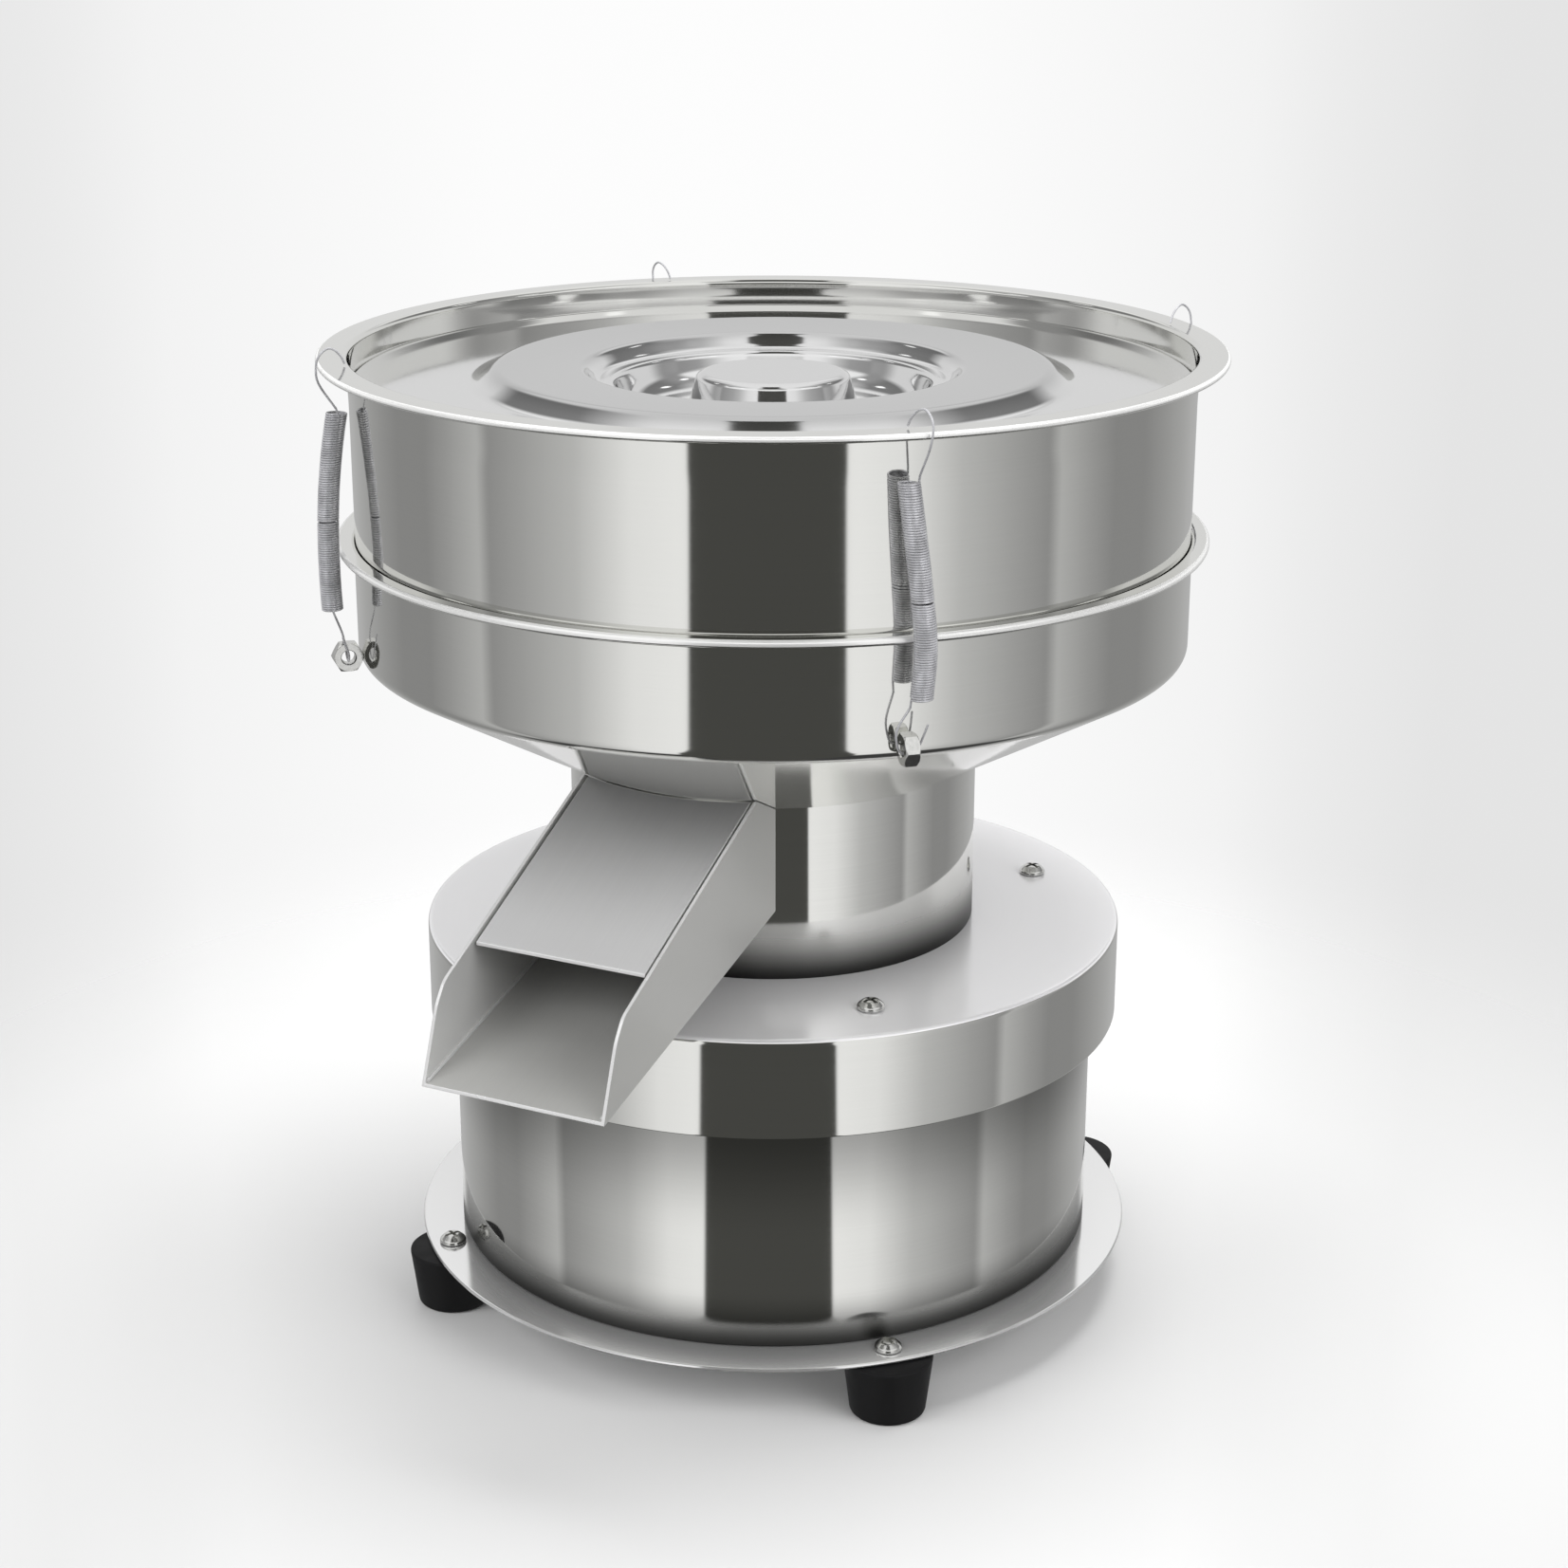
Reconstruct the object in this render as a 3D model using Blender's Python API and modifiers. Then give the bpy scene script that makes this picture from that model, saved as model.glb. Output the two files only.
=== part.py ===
"""Bench-top vibrating sieve for powders, modelled as separate pieces.

Metres, +Z up. The origin is the centre of the pressed panel under the base
plate, on the machine's upright axis. The outlet points along -Y.
"""
import math

import bmesh
import bpy
from mathutils import Vector

# Clearances and facets
GAP = 0.0003
SEGMENTS = 40
MOTOR_SEGMENTS = 20
SMALL_SEGMENTS = 12
CORNERS = (-45, 45, 135, 225)

# Base plate and feet
PLATE_SHEET = 0.0016
PLATE_MARGIN = 0.0147
PAN_DEPTH = 0.0020
PAN_INSET = 0.0263
FOOT_HEIGHT = 0.0223
FOOT_TOP_R = 0.01625
FOOT_BOTTOM_R = 0.0135
FOOT_EDGE = 0.0015
FOOT_INSET = 0.0075

# Drum, with the deck that carries the springs
DRUM_R = 0.1213
DRUM_SHEET = 0.0012
DRUM_FLANGE = 0.0130
DRUM_HEADROOM = 0.0200
DECK_SHEET = 0.0015
DECK_LIP = 0.0100
DECK_HOLE_MARGIN = 0.0160

# Vibrating cap
CAP_LIFT = 0.1204
CAP_SHEET = 0.0015
CAP_OVERHANG = 0.0092
CAP_EDGE = 0.0020
SKIRT_DEPTH = 0.0358

# Support springs and their seats
SPRING_LENGTH = 0.0389
SPRING_R = 0.0087
SPRING_WIRE_R = 0.0011
SPRING_TURNS = 4.5
SPRING_END_TURNS = 0.75
SPRING_POINTS = 6
SPRING_WALL_SPACE = 0.0131
SEAT_MARGIN = 0.0018
SEAT_FLANGE = 0.0015
SEAT_PEG = 0.0080

# Pan head screws
SCREW_R = 0.0025
SCREW_HEAD_R = 0.0050
SCREW_HEAD = 0.0030
SCREW_GRIP = 0.0070

# Motor and rotor
BRACKET_R = 0.0480
BRACKET_SHEET = 0.0020
BRACKET_DEPTH = 0.0280
BRACKET_FLANGE = 0.0140
MOTOR_R = 0.0440
MOTOR_BEVEL = 0.0030
BEARING_R = 0.0130
BEARING_WIDTH = 0.0080
BOSS_WALL = 0.0027
BOSS_HEIGHT = 0.0033
SHAFT_R = 0.0060
WEIGHT_R = 0.0380
WEIGHT_HEIGHT = 0.0140
WEIGHT_HUB_R = 0.0130
WEIGHT_CLEARANCE = 0.0030
ROTOR_FLOOR = 0.0070

# Neck, cone and bucket
NECK_R = 0.0755
NECK_SHEET = 0.0012
NECK_HEIGHT = 0.0645
NECK_LAP = 0.0015
CONE_HEIGHT = 0.0420
BUCKET_SHEET = 0.0010
BUCKET_WALL = 0.0417
BUCKET_BEND = 0.0025
MOUTH_BEND = 0.0025
MOUTH_WIDTH = 0.0071
MOUTH_BEAD_R = 0.0015

# Sieve
SIEVE_R = 0.1500
SIEVE_SHEET = 0.0010
SIEVE_FREE = 0.0005
SPIGOT_STEP = 0.0011
SPIGOT_DEPTH = 0.0212
MESH_LIP = 0.0030
MESH_THICKNESS = 0.0006
CLAMP_WIDTH = 0.0046
CLAMP_HEIGHT = 0.0050
SIEVE_WALL = 0.0661
SIEVE_TAPER = 0.0006
TAPER_HEIGHT = 0.0160
RIM_BEND = 0.0030
RIM_WIDTH = 0.0120
RIM_BEAD_R = 0.0012

# Lid
LID_SHEET = 0.0010
LID_SINK = 0.0101
LID_RIM = 0.0015
LID_BAND = 0.0060
LID_BAND_DROP = 0.0016
LID_RING_R = 0.1073
LID_RING_SLOPE = 0.0079
LID_RING_HEIGHT = 0.0053
LID_DISH = 0.0009
LID_WELL_R = 0.0677
LID_WELL_SLOPE = 0.0042
LID_WELL_DEPTH = 0.0052
LID_LEDGE = 0.0068
BOWL_DEPTH = 0.0145
BOSS_R = 0.0275
BOSS_EDGE = 0.0024
BOSS_RISE = 0.0030

# Outlet
CHUTE_WIDTH = 0.0692
CHUTE_SHEET = 0.0012
CHUTE_LENGTH = 0.1156
CHUTE_FLOOR_ANGLE = math.radians(14.3)
CHUTE_TOP_ANGLE = math.radians(25.0)
CHUTE_LIFT = 0.0241
CHUTE_MOUTH_HEIGHT = 0.0313
CHUTE_MOUTH_RAKE = 0.0117
CHUTE_COVER_SETBACK = 0.0210
CHUTE_BEND = 0.0060
NECK_WINDOW_MARGIN = 0.0030

# Spring hooks and the nuts they hang in
NUT_FLATS = 0.0100
NUT_WIDTH = 0.0050
NUT_HOLE_R = 0.0025
NUT_RISE = 0.0040
HOOK_WIRE_R = 0.0006
COIL_R = 0.0033
COIL_TURNS = 10
COIL_POINTS = 6
COIL_LENGTH = 0.0690
COIL_START = 0.0180
COIL_CLEARANCE = 0.0006
COIL_STAND = 0.0010
COIL_LEAN = 0.0020
COIL_SIDE_LOW = 0.0028
COIL_SIDE_HIGH = -0.0033
HOOK_TURN = -2.5
HOOK_LOOP_RISE = 0.0065
HOOK_REACH = 0.0076
HOOK_TAIL = 0.0080

# Switch and cable gland at the back
SWITCH_TURN = 28
SWITCH_DROP = 0.0030
BEZEL_WIDTH = 0.0210
BEZEL_HEIGHT = 0.0280
BEZEL_FLANGE = 0.0020
BEZEL_BODY_DEPTH = 0.0180
BEZEL_RIM = 0.0025
BEZEL_WALL = 0.0015
ROCKER_FREE = 0.0010
ROCKER_TILT = math.radians(8)
ROCKER_DEPTH = 0.0040
ROCKER_POCKET = 0.0075
GLAND_HEIGHT = 0.0230
GLAND_R = 0.0095
GLAND_THREAD_R = 0.0075
GLAND_BORE_R = 0.0035
GLAND_LENGTH = 0.0150
GLAND_TAIL = 0.0100

# Heights and radii that follow from the sizes above
PLATE_TOP = PAN_DEPTH + PLATE_SHEET
PLATE_R = DRUM_R + PLATE_MARGIN
PAN_R = DRUM_R - PAN_INSET
FOOT_CIRCLE_R = PLATE_R - FOOT_INSET
CAP_R = DRUM_R + CAP_OVERHANG
CAP_UNDER = PLATE_TOP + CAP_LIFT
CAP_TOP = CAP_UNDER + CAP_SHEET
SPRING_CIRCLE_R = DRUM_R - DRUM_SHEET - SPRING_WALL_SPACE
SEAT_R = SPRING_R + SEAT_MARGIN
PEG_R = SPRING_R - SPRING_WIRE_R - 4 * GAP
DECK_TOP = CAP_UNDER - SPRING_LENGTH - 2 * SEAT_FLANGE - 4 * GAP
DECK_HOLE_R = BRACKET_R + DECK_HOLE_MARGIN
CONE_BOTTOM = CAP_TOP + NECK_HEIGHT
CONE_BOTTOM_R = NECK_R + GAP
CONE_TOP = CONE_BOTTOM + CONE_HEIGHT
BUCKET_INNER_R = SIEVE_R + SIEVE_FREE
BUCKET_R = BUCKET_INNER_R + BUCKET_SHEET
CONE_ANGLE = math.atan2(CONE_HEIGHT, BUCKET_R - CONE_BOTTOM_R)
MOUTH_TOP = CONE_TOP + BUCKET_WALL
MOUTH_OUTER_R = BUCKET_INNER_R + MOUTH_WIDTH
SPIGOT_R = SIEVE_R + SIEVE_SHEET - SPIGOT_STEP
SHOULDER_OUT = SIEVE_R + SIEVE_SHEET - BUCKET_INNER_R - MOUTH_BEND
SHOULDER_Z = MOUTH_TOP - MOUTH_BEND + (MOUTH_BEND + GAP) * math.sqrt(2) + SHOULDER_OUT
SIEVE_BOTTOM = SHOULDER_Z - SPIGOT_STEP - SPIGOT_DEPTH
RIM_TOP = SHOULDER_Z + SIEVE_WALL
RIM_R = SIEVE_R + RIM_WIDTH
LID_EDGE_Z = RIM_TOP - LID_SINK
NUT_R = BUCKET_R + GAP + NUT_FLATS / 2
NUT_Z = CONE_TOP + NUT_RISE
CHUTE_FLOOR_Z = CAP_TOP + CHUTE_LIFT
CHUTE_END = NECK_R + CHUTE_LENGTH
SWITCH_Z = DECK_TOP - DECK_LIP - SWITCH_DROP - BEZEL_HEIGHT / 2
GLAND_Z = PLATE_TOP + GLAND_HEIGHT


# Scene, collections and materials
def clear_scene():
    for obj in list(bpy.data.objects):
        bpy.data.objects.remove(obj, do_unlink=True)


def make_collection(name):
    collection = bpy.data.collections.new(name)
    bpy.context.scene.collection.children.link(collection)
    return collection


def make_material(name, colour, roughness, metallic):
    material = bpy.data.materials.new(name)
    material.use_nodes = True
    shader = material.node_tree.nodes["Principled BSDF"]
    shader.inputs["Base Color"].default_value = (*colour, 1.0)
    shader.inputs["Roughness"].default_value = roughness
    shader.inputs["Metallic"].default_value = metallic
    return material


clear_scene()
PART = make_collection("vibrating_sieve")
CUTTERS = make_collection("cutters")
POLISHED = ("polished_steel", (0.62, 0.62, 0.60), 0.14, 1.0)
SATIN = ("satin_steel", (0.66, 0.66, 0.65), 0.35, 1.0)
SPRING = ("spring_steel", (0.45, 0.45, 0.46), 0.30, 1.0)
MOTOR_PAINT = ("motor_paint", (0.12, 0.15, 0.17), 0.55, 0.0)
CAST = ("cast_iron", (0.16, 0.16, 0.16), 0.70, 0.6)
RUBBER = ("rubber", (0.015, 0.015, 0.016), 0.75, 0.0)
PLASTIC = ("black_plastic", (0.02, 0.02, 0.02), 0.45, 0.0)


def dress(obj, finish):
    """Give the object its own copy of a finish."""
    name, colour, roughness, metallic = finish
    obj.data.materials.append(make_material(f"{obj.name}_{name}", colour, roughness, metallic))


def place(obj, parent, location=(0, 0, 0), turn=0.0):
    obj.parent = parent
    obj.location = location
    obj.rotation_euler = (0, 0, math.radians(turn))
    return obj


def make_empty(name, parent=None, location=(0, 0, 0), turn=0.0):
    """An empty on a joint's axis, which carries the pieces of one moving body."""
    empty = bpy.data.objects.new(name, None)
    PART.objects.link(empty)
    return place(empty, parent, location, turn)


# Profiles, as (radius, height) pairs
def arc(centre, radius, start, stop, steps):
    """Points on a circle from one angle to another, in degrees, both ends included."""
    angles = [math.radians(start + (stop - start) * i / steps) for i in range(steps + 1)]
    return [(centre[0] + radius * math.cos(a), centre[1] + radius * math.sin(a)) for a in angles]


def inner_side(outer, thickness):
    """The other side of a sheet whose outer side runs outwards and down."""
    points = [Vector(p) for p in outer]
    normals = []
    for a, b in zip(points, points[1:]):
        run = (b - a).normalized()
        normals.append(Vector((run.y, -run.x)))
    inner = []
    for i, point in enumerate(points):
        before = normals[max(i - 1, 0)]
        after = normals[min(i, len(normals) - 1)]
        mitre = (before + after) / (1 + before.dot(after))
        shifted = point + mitre * thickness
        inner.append((0.0 if point.x == 0 else shifted.x, shifted.y))
    return inner


def sheet(outer, thickness):
    return outer + list(reversed(inner_side(outer, thickness)))


# Solids
def mesh_object(name, mesh, finish, collection=None):
    obj = bpy.data.objects.new(name, mesh)
    (collection or PART).objects.link(obj)
    if finish:
        dress(obj, finish)
    return obj


def turned(name, profile, finish, segments=SEGMENTS, collection=None):
    """A profile turned about the local Z axis; it is closed unless it ends on the axis."""
    mesh = bpy.data.meshes.new(name)
    count = len(profile)
    edges = [(i, i + 1) for i in range(count - 1)]
    if profile[0][0] > 0:
        edges.append((count - 1, 0))
    mesh.from_pydata([(r, 0, z) for r, z in profile], edges, [])
    obj = mesh_object(name, mesh, finish, collection)
    screw = obj.modifiers.new("turn", "SCREW")
    screw.steps = segments
    screw.render_steps = segments
    screw.use_merge_vertices = True
    screw.merge_threshold = 0.00001
    return obj


def block(name, low, high, finish=None, collection=None):
    """A box between two corners, in local coordinates."""
    mesh = bpy.data.meshes.new(name)
    box = bmesh.new()
    bmesh.ops.create_cube(box, size=1.0)
    size = Vector(high) - Vector(low)
    bmesh.ops.scale(box, vec=size, verts=box.verts)
    bmesh.ops.translate(box, vec=(Vector(high) + Vector(low)) / 2, verts=box.verts)
    box.to_mesh(mesh)
    box.free()
    return mesh_object(name, mesh, finish, collection)


def rod(name, radius, bottom, top, segments, finish=None, collection=None):
    """A round bar along the local Z axis."""
    mesh = bpy.data.meshes.new(name)
    bar = bmesh.new()
    bmesh.ops.create_cone(
        bar, cap_ends=True, segments=segments, radius1=radius, radius2=radius, depth=top - bottom
    )
    bmesh.ops.translate(bar, vec=(0, 0, (top + bottom) / 2), verts=bar.verts)
    bar.to_mesh(mesh)
    bar.free()
    return mesh_object(name, mesh, finish, collection)


def side_panel(name, outline, half_width, finish=None, collection=None):
    """An outline of (reach, height) pairs in the plane of the outlet, as wide as stated."""
    mesh = bpy.data.meshes.new(name)
    panel = bmesh.new()
    near = [panel.verts.new((-half_width, -u, z)) for u, z in outline]
    face = panel.faces.new(near)
    grown = bmesh.ops.extrude_face_region(panel, geom=[face])
    far = [v for v in grown["geom"] if isinstance(v, bmesh.types.BMVert)]
    bmesh.ops.translate(panel, vec=(2 * half_width, 0, 0), verts=far)
    bmesh.ops.recalc_face_normals(panel, faces=panel.faces)
    panel.to_mesh(mesh)
    panel.free()
    return mesh_object(name, mesh, finish, collection)


def combine(target, other, operation="DIFFERENCE"):
    boolean = target.modifiers.new(operation.lower(), "BOOLEAN")
    boolean.operation = operation
    boolean.object = other
    boolean.solver = "EXACT"
    other.hide_render = True
    other.display_type = "WIRE"


def wire(name, points, radius, finish, parent, location=(0, 0, 0), turn=0.0):
    curve = bpy.data.curves.new(name, "CURVE")
    curve.dimensions = "3D"
    curve.bevel_depth = radius
    curve.bevel_resolution = 2
    curve.use_fill_caps = True
    spline = curve.splines.new("POLY")
    spline.points.add(len(points) - 1)
    for target, point in zip(spline.points, points):
        target.co = (*point, 1.0)
    obj = bpy.data.objects.new(name, curve)
    PART.objects.link(obj)
    dress(obj, finish)
    return place(obj, parent, location, turn)


def smooth_line(anchors, steps):
    """Points of a Catmull-Rom curve through the anchors."""
    points = [Vector(a) for a in anchors]
    padded = [2 * points[0] - points[1]] + points + [2 * points[-1] - points[-2]]
    line = []
    for p0, p1, p2, p3 in zip(padded, padded[1:], padded[2:], padded[3:]):
        for i in range(steps):
            t = i / steps
            line.append(
                0.5 * (2 * p1 + (p2 - p0) * t + (2 * p0 - 5 * p1 + 4 * p2 - p3) * t * t
                       + (3 * p1 - p0 - 3 * p2 + p3) * t ** 3)
            )
    line.append(points[-1])
    return line


# Base
def add_base_plate(base):
    slope = PLATE_SHEET + GAP
    top = [
        (0, PLATE_SHEET),
        (PAN_R, PLATE_SHEET),
        (PAN_R + slope, PLATE_TOP),
        (PLATE_R, PLATE_TOP),
    ]
    plate = place(turned("base_plate", sheet(top, PLATE_SHEET), SATIN), base)
    for number, angle in enumerate(CORNERS, 1):
        hole = rod(
            f"foot_hole_{number}", SCREW_R + GAP, 0, 2 * PLATE_TOP, SMALL_SEGMENTS, collection=CUTTERS
        )
        place(hole, base, around(FOOT_CIRCLE_R, angle, 0))
        combine(plate, hole)


def around(radius, angle, height):
    """A point at a radius and an angle about the machine's axis."""
    turn = math.radians(angle)
    return (radius * math.cos(turn), radius * math.sin(turn), height)


def add_feet(base):
    top = PAN_DEPTH - GAP
    bottom = PAN_DEPTH - FOOT_HEIGHT
    socket = top - SCREW_GRIP - 2 * SCREW_R
    profile = [
        (0, socket),
        (SCREW_R + GAP, socket),
        (SCREW_R + GAP, top),
        (FOOT_TOP_R, top),
        (FOOT_BOTTOM_R, bottom + FOOT_EDGE),
        (FOOT_BOTTOM_R - FOOT_EDGE, bottom),
        (0, bottom),
    ]
    for number, angle in enumerate(CORNERS, 1):
        foot = turned(f"foot_{number}", profile, RUBBER, segments=16)
        place(foot, base, around(FOOT_CIRCLE_R, angle, 0), angle)
        add_screw(f"foot_screw_{number}", base, FOOT_CIRCLE_R, angle, PLATE_TOP, PLATE_SHEET)


def add_screw(name, parent, radius, angle, seat, sheet_thickness):
    """A pan head screw that stands on a sheet, with its shank going down through it."""
    tip = -sheet_thickness - SCREW_GRIP
    profile = [
        (0, SCREW_HEAD),
        (0.7 * SCREW_HEAD_R, 0.85 * SCREW_HEAD),
        (SCREW_HEAD_R, 0.3 * SCREW_HEAD),
        (SCREW_HEAD_R, 0),
        (SCREW_R, 0),
        (SCREW_R, tip),
        (0, tip),
    ]
    screw = turned(name, profile, SATIN, segments=SMALL_SEGMENTS)
    place(screw, parent, around(radius, angle, seat + GAP), angle)


def add_drum(base):
    bottom = PLATE_TOP + GAP
    top = CAP_UNDER - DRUM_HEADROOM
    outer = [
        (DRUM_R, top),
        (DRUM_R, bottom),
        (DRUM_R - DRUM_FLANGE, bottom),
    ]
    drum = place(turned("base_drum", sheet(outer, DRUM_SHEET), POLISHED), base)
    half_x = BEZEL_WIDTH / 2 - BEZEL_RIM + GAP
    half_z = BEZEL_HEIGHT / 2 - BEZEL_RIM + GAP
    window = block(
        "switch_window",
        (-half_x, DRUM_R - 10 * DRUM_SHEET, SWITCH_Z - half_z),
        (half_x, DRUM_R + DRUM_SHEET, SWITCH_Z + half_z),
        collection=CUTTERS,
    )
    place(window, base, turn=SWITCH_TURN)
    combine(drum, window)
    hole = rod(
        "gland_hole", GLAND_THREAD_R + GAP, -10 * DRUM_SHEET, DRUM_SHEET, SMALL_SEGMENTS, collection=CUTTERS
    )
    aim_back(hole, base, GLAND_Z)
    combine(drum, hole)


def aim_back(obj, parent, height):
    """Stand an object's Z axis out of the back of the drum."""
    place(obj, parent, (0, DRUM_R, height))
    obj.rotation_euler = (-math.pi / 2, 0, 0)


def add_deck(base):
    rim = DRUM_R - DRUM_SHEET - GAP
    outer = [
        (DECK_HOLE_R, DECK_TOP),
        (rim, DECK_TOP),
        (rim, DECK_TOP - DECK_LIP),
    ]
    place(turned("spring_deck", sheet(outer, DECK_SHEET), SATIN), base)


def add_springs(base):
    flange_top = DECK_TOP + GAP + SEAT_FLANGE
    post = [
        (0, flange_top + SEAT_PEG),
        (PEG_R, flange_top + SEAT_PEG),
        (PEG_R, flange_top),
        (SEAT_R, flange_top),
        (SEAT_R, DECK_TOP + GAP),
        (0, DECK_TOP + GAP),
    ]
    low = flange_top + GAP + SPRING_WIRE_R
    high = CAP_UNDER - GAP - SEAT_FLANGE - GAP - SPRING_WIRE_R
    end_rise = (2 * SPRING_WIRE_R + 2 * GAP) * SPRING_END_TURNS
    open_turns = SPRING_TURNS - 2 * SPRING_END_TURNS
    coil = []
    count = int(SPRING_TURNS * SPRING_POINTS)
    for i in range(count + 1):
        turns = i / SPRING_POINTS
        lower_end = min(turns / SPRING_END_TURNS, 1)
        middle = min(max((turns - SPRING_END_TURNS) / open_turns, 0), 1)
        upper_end = max((turns - SPRING_TURNS) / SPRING_END_TURNS + 1, 0)
        level = low + (lower_end + upper_end) * end_rise + middle * (high - low - 2 * end_rise)
        turn = 2 * math.pi * turns
        coil.append((SPRING_R * math.cos(turn), SPRING_R * math.sin(turn), level))
    for number, angle in enumerate(CORNERS, 1):
        seat = turned(f"spring_post_{number}", post, SATIN, segments=SMALL_SEGMENTS)
        place(seat, base, around(SPRING_CIRCLE_R, angle, 0), angle)
        wire(
            f"support_spring_{number}", coil, SPRING_WIRE_R, SPRING, base,
            around(SPRING_CIRCLE_R, angle, 0), angle,
        )


# Switch and gland at the back
def add_switch(base):
    mount = make_empty("switch_mount", base, turn=SWITCH_TURN)
    face = DRUM_R + GAP + BEZEL_FLANGE
    inner_x = BEZEL_WIDTH / 2 - BEZEL_RIM
    inner_z = BEZEL_HEIGHT / 2 - BEZEL_RIM
    bezel = block(
        "switch_bezel",
        (-BEZEL_WIDTH / 2, DRUM_R + GAP, SWITCH_Z - BEZEL_HEIGHT / 2),
        (BEZEL_WIDTH / 2, face, SWITCH_Z + BEZEL_HEIGHT / 2),
        PLASTIC,
    )
    body = block(
        "bezel_body",
        (-inner_x, DRUM_R - BEZEL_BODY_DEPTH, SWITCH_Z - inner_z),
        (inner_x, face - BEZEL_FLANGE / 2, SWITCH_Z + inner_z),
        collection=CUTTERS,
    )
    pocket_x = inner_x - BEZEL_WALL
    pocket_z = inner_z - BEZEL_WALL
    pocket = block(
        "rocker_pocket",
        (-pocket_x, face - ROCKER_POCKET, SWITCH_Z - pocket_z),
        (pocket_x, face + BEZEL_FLANGE, SWITCH_Z + pocket_z),
        collection=CUTTERS,
    )
    for obj in (bezel, body, pocket):
        obj.parent = mount
    combine(bezel, body, "UNION")
    combine(bezel, pocket)

    pivot = make_empty("switch_pivot", mount, (0, face - BEZEL_FLANGE, SWITCH_Z))
    reach = pocket_z - ROCKER_FREE
    crown = ROCKER_DEPTH / 2 + reach * math.tan(ROCKER_TILT)
    outline = [
        (ROCKER_DEPTH, -reach + ROCKER_FREE),
        (ROCKER_DEPTH, reach - ROCKER_FREE),
        (-crown, reach),
        (-ROCKER_DEPTH / 2, 0),
        (-crown, -reach),
    ]
    rocker = side_panel("switch_rocker", outline, pocket_x - ROCKER_FREE / 2, PLASTIC)
    rocker.parent = pivot
    rocker.rotation_euler = (-ROCKER_TILT, 0, 0)


def add_gland(base):
    profile = [
        (GLAND_BORE_R, GLAND_LENGTH),
        (0.65 * GLAND_R, GLAND_LENGTH),
        (GLAND_R, 0.6 * GLAND_LENGTH),
        (GLAND_R, GAP),
        (GLAND_THREAD_R, GAP),
        (GLAND_THREAD_R, -GLAND_TAIL),
        (GLAND_BORE_R, -GLAND_TAIL),
    ]
    gland = turned("cable_gland", profile, PLASTIC, segments=SMALL_SEGMENTS)
    aim_back(gland, base, GLAND_Z)
    nut_face = -DRUM_SHEET - GAP - GLAND_THREAD_R ** 2 / DRUM_R
    nut_back = nut_face - GLAND_R / 2
    lock = rod("gland_nut", GLAND_R * 2 / math.sqrt(3), nut_back, nut_face, 6, PLASTIC)
    bore = rod(
        "gland_nut_bore", GLAND_THREAD_R + GAP, nut_back - GLAND_R, nut_face + GLAND_R,
        SMALL_SEGMENTS, collection=CUTTERS,
    )
    aim_back(lock, base, GLAND_Z)
    aim_back(bore, base, GLAND_Z)
    combine(lock, bore)


# Vibrating cap, with the upper spring seats under it
def add_cap(tub):
    top = [
        (0, CAP_TOP),
        (CAP_R - CAP_EDGE, CAP_TOP),
        (CAP_R, CAP_TOP - CAP_EDGE),
        (CAP_R, CAP_TOP - SKIRT_DEPTH),
    ]
    cap = place(turned("vibrating_cap", sheet(top, CAP_SHEET), SATIN), tub)
    seat_top = CAP_UNDER - GAP
    flange = seat_top - SEAT_FLANGE
    socket = seat_top - SCREW_GRIP - GAP
    cup = [
        (0, socket),
        (SCREW_R + GAP, socket),
        (SCREW_R + GAP, seat_top),
        (SEAT_R, seat_top),
        (SEAT_R, flange),
        (PEG_R, flange),
        (PEG_R, flange - SEAT_PEG),
        (0, flange - SEAT_PEG),
    ]
    for number, angle in enumerate(CORNERS, 1):
        hole = rod(
            f"cap_hole_{number}", SCREW_R + GAP, CAP_UNDER - CAP_SHEET, CAP_TOP + CAP_SHEET,
            SMALL_SEGMENTS, collection=CUTTERS,
        )
        place(hole, tub, around(SPRING_CIRCLE_R, angle, 0), angle)
        combine(cap, hole)
        seat = turned(f"spring_cup_{number}", cup, SATIN, segments=SMALL_SEGMENTS)
        place(seat, tub, around(SPRING_CIRCLE_R, angle, 0), angle)
        add_screw(f"cap_screw_{number}", tub, SPRING_CIRCLE_R, angle, CAP_TOP, CAP_SHEET)


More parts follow.
